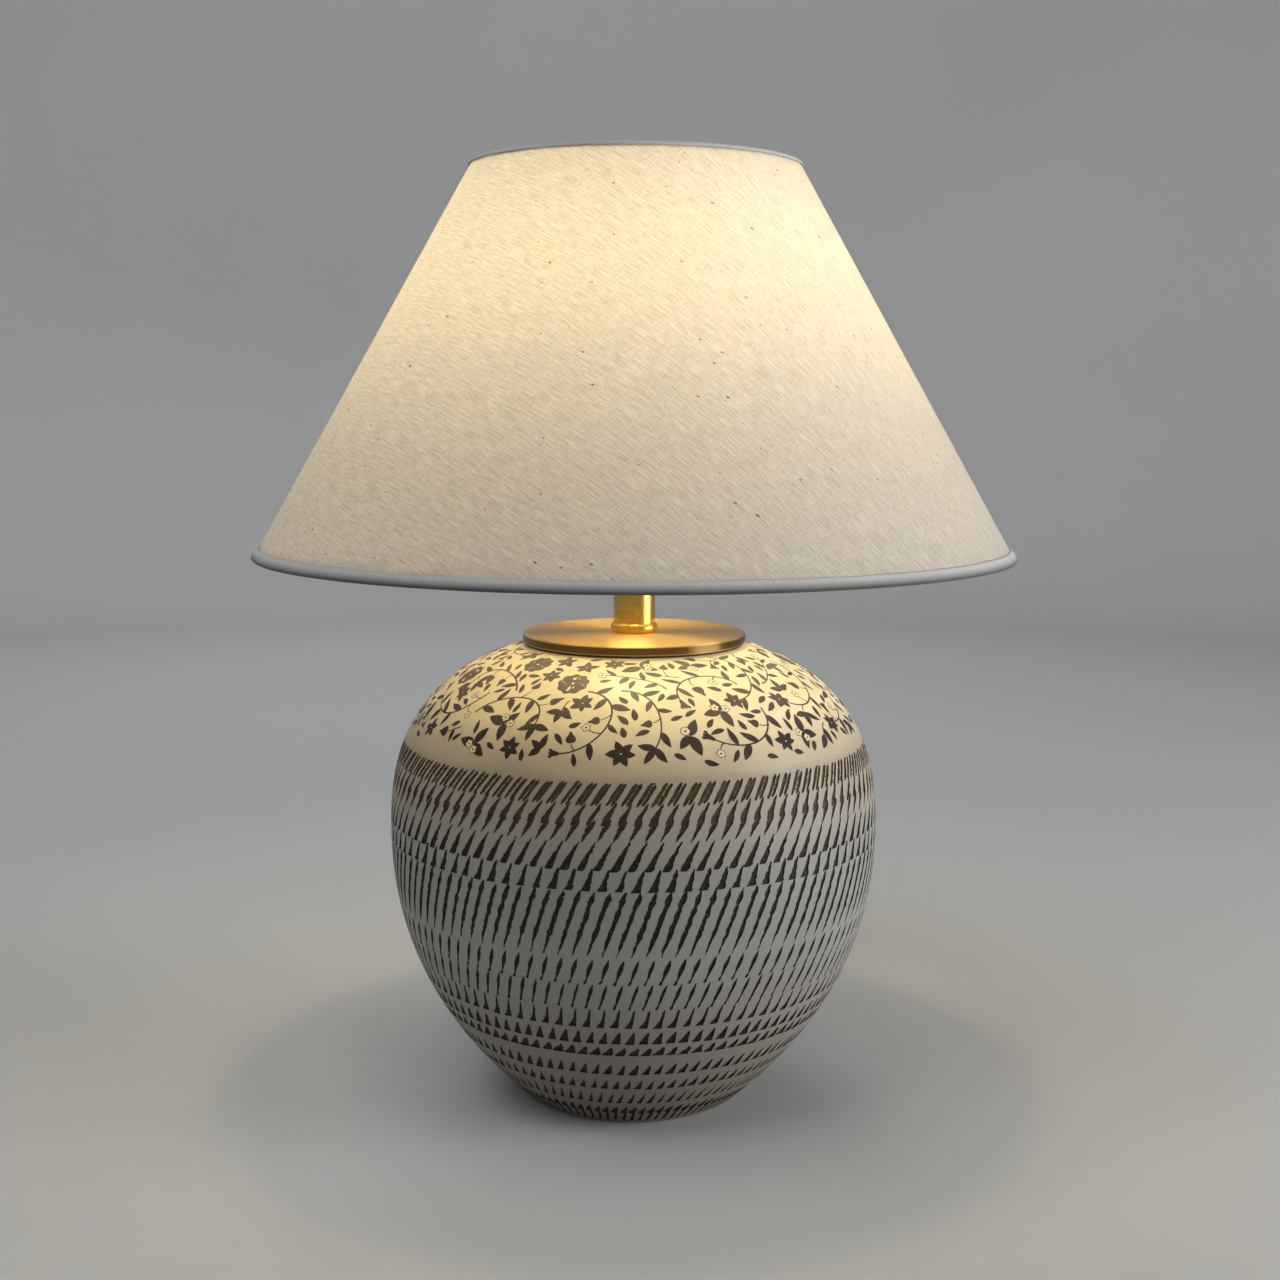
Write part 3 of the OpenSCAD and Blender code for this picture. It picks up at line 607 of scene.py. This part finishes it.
def vine(rng, length, curl, end):
    """A scrolling stem with a leaf, or a stalk with a bud or blossom, on alternate sides at every step."""
    line, heading = curve(length, curl, 0.12, rng.uniform(0, 6), max(8, round(length / 2.4)))
    shapes = stem(line, 0.34 + 0.003 * length)
    t = np.linspace(0, 1, len(line))
    at, side = rng.uniform(3.5, 5.5) / length, rng.choice([-1, 1])
    while at < 0.94:
        foot = np.array([np.interp(at, t, line[:, i]) for i in (0, 1)])
        way = math.degrees(np.interp(at, t, heading)) + side * rng.uniform(34, 64)
        if rng.random() < 0.7:
            size = rng.uniform(6.8, 10.2)
            part = leaf(size, size * rng.uniform(0.34, 0.42), rng.uniform(0.05, 0.25) * side)
        else:
            stalk, turn = curve(rng.uniform(3.5, 6.5), 0.7 * side, 0, 0, 6)
            kind = rng.choice(["berry", "blossom", "bell", "leaves"], p=[0.4, 0.25, 0.2, 0.15])
            part = stem(stalk, 0.3) + moved(ending(kind, rng), math.degrees(turn[-1]), 1, stalk[-1])
        shapes += moved(part, way, 1, foot)
        at += rng.uniform(5.2, 7.6) / length
        side = -side
    return shapes + moved(ending(end, rng), math.degrees(heading[-1]), 1, line[-1])


def posy(rng):
    """Outlined blossoms on broad dark leaves."""
    shapes = []
    for k in range(3):
        size = rng.uniform(8, 11)
        shapes += moved(leaf(size, size * 0.5, rng.uniform(-0.2, 0.2)), 115 * k + rng.uniform(-22, 22))
    for k in range(2):
        a = rng.uniform(0, TURN)
        shapes += moved(blossom(2.5), rng.uniform(0, 72), 1, (3.2 * math.cos(a), 3.2 * math.sin(a)))
    return shapes


def room(shapes):
    """Points all over a motif, for the space it needs."""
    spots = []
    for _, points, faces in shapes:
        middles = np.array([points[list(f)].mean(0) for f in faces])
        spots += [points, middles]
        if len(faces[0]) == 3:
            spots.append((middles + points[-1]) / 2)
    return np.vstack(spots)


def scatter(rng):
    """Fills the shoulder with motifs, large ones first, each clear of those before it."""
    field, motifs = Shoulder(), []
    high = field.length

    def scroll(low_length, high_length, ends):
        length = rng.uniform(low_length, high_length)
        return vine(rng, length, rng.uniform(0.035, 0.06) * length * rng.choice([-1, 1]), rng.choice(ends))

    # How a motif is made, the tries, the most that are placed, the gap round each and its place up the field
    plan = (
        (lambda: round_flower(rng.uniform(7.0, 7.9), rng), 900, 10, 1.4, (24, high - 12)),
        (lambda: scroll(42, 58, ["star", "leaves", "bell"]), 7000, 36, 0.9, (2, high)),
        (lambda: scroll(26, 38, ["star", "leaves", "blossom", "bell"]), 9000, 60, 0.85, (2, high)),
        (lambda: posy(rng), 1500, 18, 0.9, (2, high)),
        (lambda: star_flower(rng.uniform(5.6, 7.0), rng), 1500, 30, 0.9, (4, high)),
        (lambda: scroll(14, 22, ["leaves", "berry", "blossom", "leaf"]), 12000, 120, 0.8, (0, high)),
        (lambda: scroll(7, 12, ["leaves", "berry", "leaf"]), 12000, 160, 0.8, (0, high)),
        (lambda: ending("leaves", rng), 4000, 90, 0.8, (0, high)),
        (lambda: leaf(rng.uniform(5.6, 8.0), rng.uniform(2.4, 3.1), rng.uniform(-0.3, 0.3)),
         7000, 170, 0.8, (0, high)),
    )
    for make, tries, most, gap, (lowest, highest) in plan:
        models = [moved(make(), 0, PRINT_SCALE) for _ in range(min(MODELS, most))]
        rooms = [room(m) for m in models]
        count = 0
        for _ in range(tries):
            if count == most:
                break
            pick, spin = rng.integers(len(models)), rng.uniform(0, 360)
            at = (rng.uniform(0, TURN), rng.uniform(lowest, highest))
            spots, q = field.place(turned(rooms[pick], spin), at)
            if not field.fits(spots[:, 0], q):
                continue
            field.take(spots[:, 0], q, spots[:, 1], gap)
            motifs.append((moved(models[pick], spin), at))
            count += 1
    return field, motifs


def make_print(ink, pale):
    """The floral print, fired on the shoulder: every motif lies on the glaze as a thin skin."""
    field, motifs = scatter(np.random.default_rng(SEEDS["print"]))
    layers = {"ink": (0, 0), "pale": (1, 1), "eye": (2, 0)}
    points, faces, kinds, start = [], [], [], 0
    for shapes, at in motifs:
        for n, (kind, local, shape_faces) in enumerate(shapes):
            layer, slot = layers[kind]
            out = PRINT_OUT + PRINT_LAYER * layer + PRINT_STAGGER * n
            spots, _ = field.place(local, at)
            points.append(on_vase(spots[:, 0], spots[:, 1], out))
            faces += [[i + start for i in f] for f in shape_faces]
            kinds += [slot] * len(shape_faces)
            start += len(local)
    return placed("vase_print", np.vstack(points), faces, [ink, pale], kinds)


# -------------------------------- the shade


# How far inside the shade's lower and upper edge the linen ends, and its rows of points
LINEN_LOW = 1.2
LINEN_HIGH = 1.0
LINEN_ROWS = 30


def cone_r(z, depth):
    """The shade's radius at height z, depth millimetres in from its outer face."""
    return SHADE_R - (z - SHADE_Z) * SHADE_SLOPE - depth / SHADE_COS


def uneven(rng, a, size, counts):
    """A sum of waves round a ring of angles, as high as size, with each of the counts in the round."""
    return sum(size * np.sin(k * a + rng.uniform(0, TURN)) for k in counts)


def make_linen(material):
    """The shade's cloth: one sheet, cut as a ring's part and rolled to a cone.

    Its flat pattern, in metres, gives the weave's direction.
    """
    rows, sides = LINEN_ROWS, SHADE_SIDES
    rng = np.random.default_rng(SEEDS["linen"])
    z = np.linspace(SHADE_Z + LINEN_LOW, SHADE_TOP - LINEN_HIGH, rows)
    a = np.arange(sides + 1) * TURN / sides + TURN / 4
    bow = np.sin(np.linspace(0, math.pi, rows))[:, None]
    r = cone_r(z, FABRIC_IN)[:, None] + uneven(rng, a, 0.05, (5, 9, 14, 23)) * bow
    points = np.stack([r * np.cos(a), r * np.sin(a), z[:, None] + 0 * a], -1).reshape(-1, 3)
    sine = SHADE_SLOPE * SHADE_COS
    turn = (a - TURN / 4 - math.pi) * sine
    reach = cone_r(z, 0)[:, None] / sine * 0.001
    flat = np.stack([reach * np.sin(turn), -reach * np.cos(turn)], -1).reshape(-1, 2)
    n = sides + 1
    corners = [i * n + j for i in range(rows - 1) for j in range(sides)]
    faces = [(k, k + 1, k + n + 1, k + n) for k in corners]
    points[n - 1 :: n] = points[::n]
    return placed("shade_linen", points, faces, [material], uvs=flat[np.array(faces).ravel()])


def rounded(profile, radius, steps=4):
    """A closed (r, z) profile with its corners rounded."""
    profile = np.asarray(profile, float)
    out = []
    for k, corner in enumerate(profile):
        before, after = profile[k - 1] - corner, profile[(k + 1) % len(profile)] - corner
        cut = min(radius, 0.45 * np.linalg.norm(before), 0.45 * np.linalg.norm(after))
        p0 = corner + before / np.linalg.norm(before) * cut
        p2 = corner + after / np.linalg.norm(after) * cut
        t = np.linspace(0, 1, steps)[:, None]
        out.append((1 - t) ** 2 * p0 + 2 * t * (1 - t) * corner + t**2 * p2)
    return np.vstack(out)


# Each hem's outer face, from its stitched edge round the ring: rows of height and depth in the cone
HEMS = {
    "hem_bottom": (
        (336.6, 0.1), (336.1, -0.4), (334.6, -0.9), (332.6, -1.15), (331.0, -0.8), (330.2, 0.1), (329.9, 1.5),
        (329.9, 3.5), (330.1, 5.0), (330.9, 6.1), (332.4, 6.4), (337.4, 6.4),
    ),
    "hem_top": (
        (555.6, 0.1), (555.9, -0.3), (556.6, -0.5), (557.4, -0.4), (557.9, 0.4), (558.0, 1.8),
        (558.0, 4.0), (557.6, 5.2), (556.4, 5.8), (551.2, 5.8),
    ),
}

# How far from its stitched edge a hem is uneven
HEM_FREE = 2.0


def rolled(contour):
    """A closed profile of cloth HEM_T thick. contour is its outer face: rows of height and depth in the cone."""
    z, depth = np.array(contour).T
    outer = np.c_[cone_r(z, depth), z]
    ahead = np.gradient(outer, axis=0)
    ahead /= np.linalg.norm(ahead, axis=1)[:, None]
    side = 1 if z[1] < z[0] else -1
    inner = outer + side * HEM_T * np.c_[ahead[:, 1], -ahead[:, 0]]
    ring = np.vstack([outer, inner[::-1]])
    return ring[::-side]


def make_hem(name, material):
    """A strip of cloth rolled round one of the shade's rings, a little uneven where it is stitched."""
    rng = np.random.default_rng(SEEDS[name])
    contour = HEMS[name]
    profile = rolled(contour)
    points, faces = revolved(profile, SHADE_SIDES, closed=True)
    a = np.arctan2(points[:, 1], points[:, 0])
    lift = uneven(rng, a, 0.06, (7, 17, 29, 43))
    puff = uneven(rng, a, 0.05, (11, 23, 37))
    free = np.tile(np.abs(profile[:, 1:] - contour[0][0]) < HEM_FREE, SHADE_SIDES).ravel()
    points[:, 2] += np.where(free, lift, 0)
    points[:, :2] *= 1 + (np.where(free, puff, 0) / SHADE_R)[:, None]
    return placed(name, points, faces, [material])


FELT_SIDES = 180


def make_felt(material):
    """The felt ring under the foot, its edges rounded and its face a little uneven."""
    rng = np.random.default_rng(SEEDS["felt"])
    profile = rounded([(66.0, 0.02), (66.0, 1.0), (58.8, 1.0), (58.8, 0.02)], 0.35)
    points, faces = revolved(profile, FELT_SIDES, closed=True)
    points[:, :2] *= 1 - 0.0015 * rng.random((len(points), 1))
    return placed("felt_ring", points, faces, [material])


# -------------------------------- materials

# Between these heights, in metres, a look gives way to the next
GLAZE_EDGE = (0.2195, 0.2235)
# Painted warm light: the cuts turn browner, in streaks, towards the shoulder
CUTS_PAINTED_WARM_LIGHT = (0.18, 0.216)
# Painted light: the ink turns paler towards the mouth, where the bulb's glow falls
INK_PAINTED_GLOW = (0.238, 0.266)
# Painted shade: the binding darkens below the lower hem's fold
HEM_PAINTED_SHADE = (0.3350, 0.3312)

THREAD_BIAS = math.radians(38)
THREAD_PITCH = 0.0011


def opaque(color):
    """A colour as a socket takes it. A linked colour stays as it is."""
    return color if isinstance(color, bpy.types.NodeSocket) else (*color, 1.0)


class Nodes:
    """A material's nodes, added one at a time. A value that is an output socket is linked, any other is set."""

    def __init__(self, name):
        self.material = bpy.data.materials.new(name)
        self.material.use_nodes = True
        self.tree = self.material.node_tree
        self.tree.nodes.clear()

    def add(self, kind, values=(), **settings):
        node = self.tree.nodes.new("ShaderNode" + kind)
        for key, value in settings.items():
            setattr(node, key, value)
        for key, value in dict(values).items():
            if isinstance(value, bpy.types.NodeSocket):
                self.tree.links.new(value, node.inputs[key])
            else:
                node.inputs[key].default_value = value
        return node

    def place(self, scale=(1, 1, 1), turn=0.0, flat=False):
        """Coordinates on the object or on the cloth's flat pattern, in metres, turned about Z and scaled."""
        at = self.add("TexCoord").outputs["UV" if flat else "Object"]
        spun = self.add("Mapping", {"Vector": at, "Rotation": (0, 0, turn)}).outputs[0]
        return self.add("Mapping", {"Vector": spun, "Scale": scale}).outputs[0]

    def axes(self, vector):
        return self.add("SeparateXYZ", {"Vector": vector}).outputs

    def noise(self, at, scale, detail=3.0, rough=0.5):
        values = {"Vector": at, "Scale": scale, "Detail": detail, "Roughness": rough}
        return self.add("TexNoise", values).outputs["Fac"]

    def spread(self, value, low, high, out_low=0.0, out_high=1.0):
        found = {"Value": value, "From Min": low, "From Max": high, "To Min": out_low, "To Max": out_high}
        return self.add("MapRange", found).outputs["Result"]

    def mix(self, share, first, second):
        return self.add("Mix", {0: share, 6: opaque(first), 7: opaque(second)}, data_type="RGBA").outputs[2]

    def math(self, operation, first, second=0.0):
        return self.add("Math", {0: first, 1: second}, operation=operation).outputs[0]

    def plus(self, first, second):
        return self.math("ADD", first, second)

    def times(self, first, second):
        return self.math("MULTIPLY", first, second)

    def blend(self, share, first, second):
        """Two shaders as one, with the second's share."""
        return self.add("MixShader", {0: share, 1: first, 2: second}).outputs[0]

    def bump(self, height, distance, strength):
        values = {"Height": height, "Distance": distance, "Strength": strength}
        return self.add("Bump", values).outputs["Normal"]

    def surface(self, shader):
        out = self.add("OutputMaterial")
        self.tree.links.new(shader, out.inputs["Surface"])
        return self.material

    def principled(self, color, **values):
        named = {"Base Color": opaque(color)}
        named.update({key.replace("_", " "): value for key, value in values.items()})
        return self.add("BsdfPrincipled", named).outputs["BSDF"]


def stoneware():
    """Cream satin glaze on the shoulder and grey slip below, with throwing lines and specks, browner at the foot."""
    n = Nodes("stoneware")
    at = n.place()
    cloud = n.noise(at, 14, 4)
    run = n.plus(n.axes(at)["Z"], n.spread(cloud, 0, 1, -0.006, 0.006))
    glazed = n.spread(run, *GLAZE_EDGE)
    speck = n.spread(n.noise(at, 900, 2), 0.66, 0.72)
    slip = n.mix(cloud, (0.265, 0.258, 0.236), (0.34, 0.33, 0.303))
    slip = n.mix(n.spread(run, 0.165, 0.220), slip, (0.42, 0.36, 0.27))
    slip = n.mix(n.spread(run, 0.12, 0.01), slip, (0.21, 0.172, 0.14))
    slip = n.mix(n.times(speck, 0.35), slip, (0.20, 0.16, 0.12))
    cream = n.mix(cloud, (0.79, 0.70, 0.465), (0.85, 0.76, 0.53))
    cream = n.mix(n.times(speck, 0.12), cream, (0.45, 0.34, 0.20))
    cream = n.mix(n.spread(run, 0.247, 0.220), cream, (0.47, 0.41, 0.29))
    color = n.mix(glazed, slip, cream)
    rough = n.spread(glazed, 0, 1, 0.58, 0.40)
    rings = n.noise(n.place((30, 30, 900)), 1, 2)
    grain = n.noise(at, 700, 3)
    relief = n.plus(n.times(rings, 0.35), n.times(grain, n.spread(glazed, 0, 1, 0.6, 0.08)))
    normal = n.bump(relief, 0.0004, 0.4)
    return n.surface(n.principled(color, Roughness=rough, Normal=normal, Specular_IOR_Level=0.5))


def cut_clay():
    """The dark clay that the cuts lay bare, with scraped streaks and paler grains, and painted warm light that turns
    the upper cuts browner.
    """
    n = Nodes("cut_clay")
    at = n.place()
    streak = n.noise(n.place((500, 500, 2600)), 1, 3)
    color = n.mix(n.spread(streak, 0.35, 0.7), (0.010, 0.007, 0.005), (0.036, 0.025, 0.017))
    # Painted warm light: the cuts turn browner, in streaks, towards the shoulder
    painted_warm_light = n.spread(n.axes(at)["Z"], *CUTS_PAINTED_WARM_LIGHT)
    color = n.mix(n.times(painted_warm_light, n.spread(streak, 0.2, 0.8)), color, (0.16, 0.105, 0.055))
    grain = n.spread(n.noise(at, 1100, 2), 0.56, 0.70)
    color = n.mix(n.times(grain, 0.45), color, (0.18, 0.14, 0.10))
    normal = n.bump(streak, 0.0003, 0.8)
    return n.surface(n.principled(color, Roughness=0.65, Normal=normal, Specular_IOR_Level=0.25))


def fired_ink():
    """The print's grey-brown, a little thinner here and there, with painted light that makes it paler towards the
    mouth.
    """
    n = Nodes("fired_ink")
    at = n.place()
    thin = n.spread(n.noise(at, 240, 4), 0.3, 0.8)
    color = n.mix(thin, (0.020, 0.014, 0.012), (0.052, 0.038, 0.032))
    # Painted light: paler ink towards the mouth, where the bulb's glow falls
    painted_glow = n.spread(n.axes(at)["Z"], *INK_PAINTED_GLOW)
    color = n.mix(painted_glow, color, n.mix(thin, (0.105, 0.082, 0.068), (0.165, 0.132, 0.112)))
    normal = n.bump(n.noise(at, 900, 2), 0.0001, 0.4)
    return n.surface(n.principled(color, Roughness=0.5, Normal=normal, Specular_IOR_Level=0.35))


def print_pale():
    """The glaze where it shows through the print."""
    n = Nodes("print_pale")
    cloud = n.noise(n.place(), 14, 4)
    color = n.mix(cloud, (0.78, 0.695, 0.49), (0.84, 0.755, 0.55))
    return n.surface(n.principled(color, Roughness=0.42))


def flecks(n, at):
    """Where the cloth's few dark flecks are: small uneven dots of many sizes, in about one cell of eight."""
    values = {"Vector": n.place((1, 1.7, 1), 0.4, True), "Scale": 78.0, "Randomness": 1.0}
    cell = n.add("TexVoronoi", values, voronoi_dimensions="2D").outputs
    draws = n.add("SeparateColor", {"Color": cell["Color"]}).outputs
    away = n.plus(cell["Distance"], n.spread(n.noise(at, 1100, 2), 0.3, 0.7, -0.04, 0.04))
    near = n.spread(n.times(away, n.spread(draws[1], 0, 1, 0.75, 2.4)), 0.05, 0.09, 1, 0)
    return n.times(near, n.spread(draws[0], 0.87, 0.89))


def linen():
    """Natural linen, lit from behind: slubs along both threads, a plain weave and a few dark flecks."""
    n = Nodes("linen")
    warp = n.noise(n.place((80, 1400, 1), THREAD_BIAS, True), 1, 4, 0.72)
    weft = n.noise(n.place((1700, 150, 1), THREAD_BIAS, True), 1, 3, 0.7)
    threads = n.plus(n.times(warp, 0.7), n.times(weft, 0.3))
    at = n.place((1, 1, 1), THREAD_BIAS, True)
    parts = n.axes(at)
    over = n.times(*(n.math("SINE", n.times(parts[k], TURN / THREAD_PITCH)) for k in "XY"))
    slub = n.spread(n.plus(threads, n.times(over, 0.035)), 0.41, 0.59)
    cloud = n.noise(at, 22, 4)
    fleck = n.times(flecks(n, at), 0.8)
    front = n.mix(slub, (0.66, 0.64, 0.61), (0.95, 0.94, 0.92))
    front = n.mix(n.times(cloud, 0.15), front, (0.70, 0.66, 0.58))
    front = n.mix(fleck, front, (0.16, 0.12, 0.08))
    through = n.mix(slub, (0.56, 0.52, 0.455), (0.86, 0.83, 0.785))
    through = n.mix(fleck, through, (0.12, 0.08, 0.04))
    normal = n.bump(n.plus(n.times(over, 0.35), threads), 0.0004, 0.5)
    cloth = n.principled(front, Roughness=0.92, Normal=normal, Specular_IOR_Level=0.2, Sheen_Weight=0.45)
    glow = n.add("BsdfTranslucent", {"Color": through, "Normal": normal}).outputs[0]
    return n.surface(n.blend(0.5, cloth, glow))


def binding():
    """The strip that folds round the rings: close weave that lets little light through, with painted shade below its
    fold.
    """
    n = Nodes("binding")
    at = n.place()
    weave = n.noise(n.place((900, 900, 2600)), 1, 3)
    color = n.mix(n.spread(weave, 0.35, 0.65), (0.66, 0.65, 0.61), (0.80, 0.79, 0.75))
    # Painted shade: dark below the lower hem's fold
    color = n.mix(n.spread(n.axes(at)["Z"], *HEM_PAINTED_SHADE), color, (0.08, 0.083, 0.09))
    color = n.mix(n.times(n.noise(at, 40, 3), 0.3), color, (0.36, 0.34, 0.30))
    cloth = n.principled(color, Roughness=0.95, Normal=n.bump(weave, 0.0004, 0.6), Sheen_Weight=0.1)
    glow = n.add("BsdfTranslucent", {"Color": (0.30, 0.25, 0.17, 1)}).outputs[0]
    return n.surface(n.blend(0.12, cloth, glow))


def backing():
    """The clear-white film behind the linen."""
    n = Nodes("backing")
    haze = n.noise(n.place(), 60, 3)
    color = n.mix(haze, (0.84, 0.82, 0.77), (0.90, 0.88, 0.84))
    film = n.principled(color, Roughness=0.55, Normal=n.bump(haze, 0.0002, 0.2))
    clear = n.add("BsdfTransparent", {"Color": (0.97, 0.95, 0.91, 1)}).outputs[0]
    return n.surface(n.blend(0.74, film, clear))


def turned_metal(name, dark, light, rough, across=0, pitch=9000, turned=0.0):
    """Metal with fine tool lines round its axis, one after the other across a face (across=1) or up a wall (across=0).

    turned draws the shine out across the lines. Where it is above 0, upright faces are darker: painted shade for the
    dim surroundings that they reflect.
    """
    n = Nodes(name)
    at = n.place()
    parts = n.axes(at)
    x, y, z = (parts[k] for k in "XYZ")
    radius = n.math("SQRT", n.plus(n.times(x, x), n.times(y, y)))
    along = n.add("CombineXYZ", {"X": radius, "Y": 0.0, "Z": z}).outputs[0]
    scale = (pitch * across + 300, 1, pitch * (1 - across) + 300)
    lines = n.noise(n.add("Mapping", {"Vector": along, "Scale": scale}).outputs[0], 1, 4, 0.65)
    color = n.mix(n.spread(lines, 0.35, 0.65), dark, light)
    color = n.mix(n.spread(n.noise(at, 24, 4), 0.5, 0.8, 0, 0.12), color, tuple(0.6 * c for c in dark))
    more = {"Metallic": 1.0, "Roughness": n.spread(lines, 0.35, 0.65, rough - 0.04, rough + 0.04)}
    if turned:
        # Painted shade: upright faces, such as the plate's edge, are darker
        up = n.math("ABSOLUTE", n.axes(n.add("TexCoord").outputs["Normal"])["Z"])
        color = n.mix(n.spread(up, 0.6, 0.3), color, tuple(0.35 * c for c in dark))
        round_axis = n.add("Tangent", direction_type="RADIAL", axis="Z").outputs[0]
        more |= {"Anisotropic": turned, "Anisotropic Rotation": 0.25, "Tangent": round_axis}
    return n.surface(n.principled(color, Normal=n.bump(lines, 0.00006, 0.35), **more))


def moulded(name, dark, light, rough, grain=600, depth=0.00012, **more):
    """A plain moulded or fired surface: mottled in colour, with a fine grain."""
    n = Nodes(name)
    at = n.place()
    color = n.mix(n.noise(at, grain * 0.12, 4), dark, light)
    normal = n.bump(n.noise(at, grain, 3), depth, 0.5)
    return n.surface(n.principled(color, Roughness=rough, Normal=normal, **more))


def lit_globe():
    """The bulb's opal globe, lit: brightest near its seat, dimmer at its crown."""
    n = Nodes("lit_globe")
    height = n.axes(n.place())["Z"]
    power = n.spread(height, 0.438, 0.480, 111.0, 28.5)
    tint = n.mix(n.spread(height, 0.436, 0.48), (1.0, 0.80, 0.43), (1.0, 0.84, 0.50))
    return n.surface(n.add("Emission", {"Color": tint, "Strength": power}).outputs[0])


def plain_ground(name, color):
    n = Nodes(name)
    mottled = n.mix(n.noise(n.place(), 3, 3), tuple(0.96 * c for c in color), color)
    return n.surface(n.principled(mottled, Roughness=0.9))


# -------------------------------- camera, stage and light


# Where the photograph was taken from, in metres, and how far down it looks and how far it is rolled, in radians
CAMERA_AT = (0.00353, -1.04483, 0.4224)
CAMERA_DOWN = 0.1377
CAMERA_ROLL = 0.0038


def make_camera():
    data = bpy.data.cameras.new("camera")
    data.lens, data.sensor_width = 48.98, 36.0
    camera = bpy.data.objects.new("camera", data)
    aim = Matrix.Rotation(math.pi / 2 - CAMERA_DOWN, 4, "X") @ Matrix.Rotation(CAMERA_ROLL, 4, "Z")
    camera.matrix_world = Matrix.Translation(CAMERA_AT) @ aim
    bpy.context.scene.collection.objects.link(camera)
    bpy.context.scene.camera = camera


def make_stage():
    """A pale round floor whose far edge sweeps up, so that every view has a plain ground."""
    t = np.linspace(0, math.pi / 2, 14)
    sweep = np.c_[2300 + 500 * np.sin(t), 500 - 500 * np.cos(t)]
    profile = np.vstack([[[0.001, 0], [1500, 0]], sweep, [[2800, 2600]]])
    points, faces = revolved(profile, 96)
    floor = placed("floor", points, faces[:, ::-1], [plain_ground("ground", (0.55, 0.548, 0.54))])


def make_lights():
    """A dim cool sky, and disc lamps for the object and for the sweep on each side."""
    world = bpy.data.worlds.new("studio")
    world.use_nodes = True
    sky = world.node_tree.nodes["Background"].inputs
    sky["Color"].default_value = (0.80, 0.88, 1.0, 1)
    sky["Strength"].default_value = 0.06
    bpy.context.scene.world = world
    # Name, place, target, size in metres, power in watts and colour
    lamps = [
        ("key", (2.1, -0.45, 0.45), (0, 0, 0.25), 1.4, 40.0, (0.97, 0.98, 1.0)),
        ("fill", (-0.9, -1.0, 2.4), (0, 0, 0.4), 1.6, 19.5, (0.93, 0.96, 1.0)),
        ("back", (-0.4, 2.0, 1.7), (0, 0, 0.3), 1.6, 10.0, (0.95, 0.97, 1.0)),
    ]
    for side, x, y, power in (("back", 0, 1, 4.2), ("front", 0, -1, 4.2), ("left", -1, 0, 4.2), ("right", 1, 0, 0.4)):
        place, target = (1.2 * x, 1.2 * y, 2.0), (2.8 * x, 2.8 * y, 0.6)
        lamps.append(("wash_" + side, place, target, 1.2, power, (0.92, 0.96, 1.0)))
    for name, place, target, size, power, color in lamps:
        data = bpy.data.lights.new(name, "AREA")
        data.shape, data.size, data.energy, data.color = "DISK", size, power, color
        light = bpy.data.objects.new(name, data)
        light.location = place
        bpy.context.scene.collection.objects.link(light)
        point_at(light, target)


def point_at(light, target):
    """Turns a light's face, its -Z, to a target."""
    way = Matrix.Translation(target).translation - light.location
    light.rotation_euler = way.to_track_quat("-Z", "Y").to_euler()


# -------------------------------- the lamp


def dress_nodes(nodes):
    """Gives each CAD node that shows its own material."""
    face = turned_metal("turned_brass", (0.54, 0.345, 0.125), (0.79, 0.555, 0.26), 0.42, across=1, turned=0.95)
    wall = turned_metal("drawn_brass", (0.60, 0.36, 0.06), (0.83, 0.55, 0.13), 0.25, pitch=5200)
    wire = turned_metal("brass_wire", (0.62, 0.46, 0.22), (0.84, 0.67, 0.38), 0.33, pitch=2600)
    plated = turned_metal("zinc", (0.46, 0.46, 0.45), (0.72, 0.72, 0.70), 0.4, pitch=4000)
    alloy = turned_metal("bulb_alloy", (0.52, 0.52, 0.52), (0.80, 0.80, 0.79), 0.3, pitch=1700)
    dark_rubber = moulded("rubber", (0.022, 0.021, 0.020), (0.045, 0.043, 0.040), 0.7)
    card = moulded("card", (0.56, 0.47, 0.34), (0.70, 0.61, 0.47), 0.85, 900)
    porcelain = moulded("porcelain", (0.80, 0.79, 0.75), (0.88, 0.87, 0.84), 0.28, 300, 0.00004)
    white = moulded("bulb_white", (0.78, 0.77, 0.74), (0.85, 0.84, 0.82), 0.45, 900, 0.00005)
    black = moulded("bulb_black", (0.010, 0.010, 0.011), (0.020, 0.020, 0.021), 0.3, 500, 0.00004)
    finishes = (
        (face, "cap_plate column_cap spider_washer"),
        (wall, "column_tube column_collar finial ferrule_left ferrule_right harp_stud socket_shell socket_cap"),
        (wire, "harp_bow harp_saddle saddle_nut spider_arms terminal_screws centre_contact screw_shell threaded_rod"),
        (plated, "base_washer lock_washer base_nut top_ring bottom_ring"),
        (dark_rubber, "cord_grommet mouth_gasket"),
        (card, "socket_liner"),
        (porcelain, "socket_core"),
        (white, "bulb_housing"),
        (black, "bulb_insulator"),
        (alloy, "bulb_cap bulb_tip led_board"),
        (lit_globe(), "bulb_globe"),
        (backing(), "shade_liner"),
    )
    for material, names in finishes:
        for name in names.split():
            slots = nodes[name].data.materials
            if not slots:
                slots.append(material)
            for k in range(len(slots)):
                slots[k] = material


def finish_piece(piece, body, slot, *nodes):
    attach(piece, body)
    if nodes:
        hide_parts(*nodes)
    return piece


def main():
    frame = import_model()
    bpy.context.scene.view_settings.view_transform = "Standard"
    make_camera()
    make_stage()
    make_lights()

    finish_piece(make_vase(stoneware(), cut_clay()), "base", "ceramic", "vase")
    finish_piece(make_print(fired_ink(), print_pale()), "base", "ceramic")
    felt = moulded("felt", (0.16, 0.15, 0.14), (0.27, 0.25, 0.23), 0.97, 2500, 0.0005, Sheen_Weight=0.3)
    felt_ring = finish_piece(make_felt(felt), "base", "felt", "foot_pad")

    tape = binding()
    bottom_hem = finish_piece(make_hem("hem_bottom", tape), "shade", "binding", "bottom_hem")
    top_hem = finish_piece(make_hem("hem_top", tape), "shade", "binding", "top_hem")
    shade = finish_piece(make_linen(linen()), "shade", "linen", "shade_fabric")
    dress_nodes(frame["nodes"])


main()
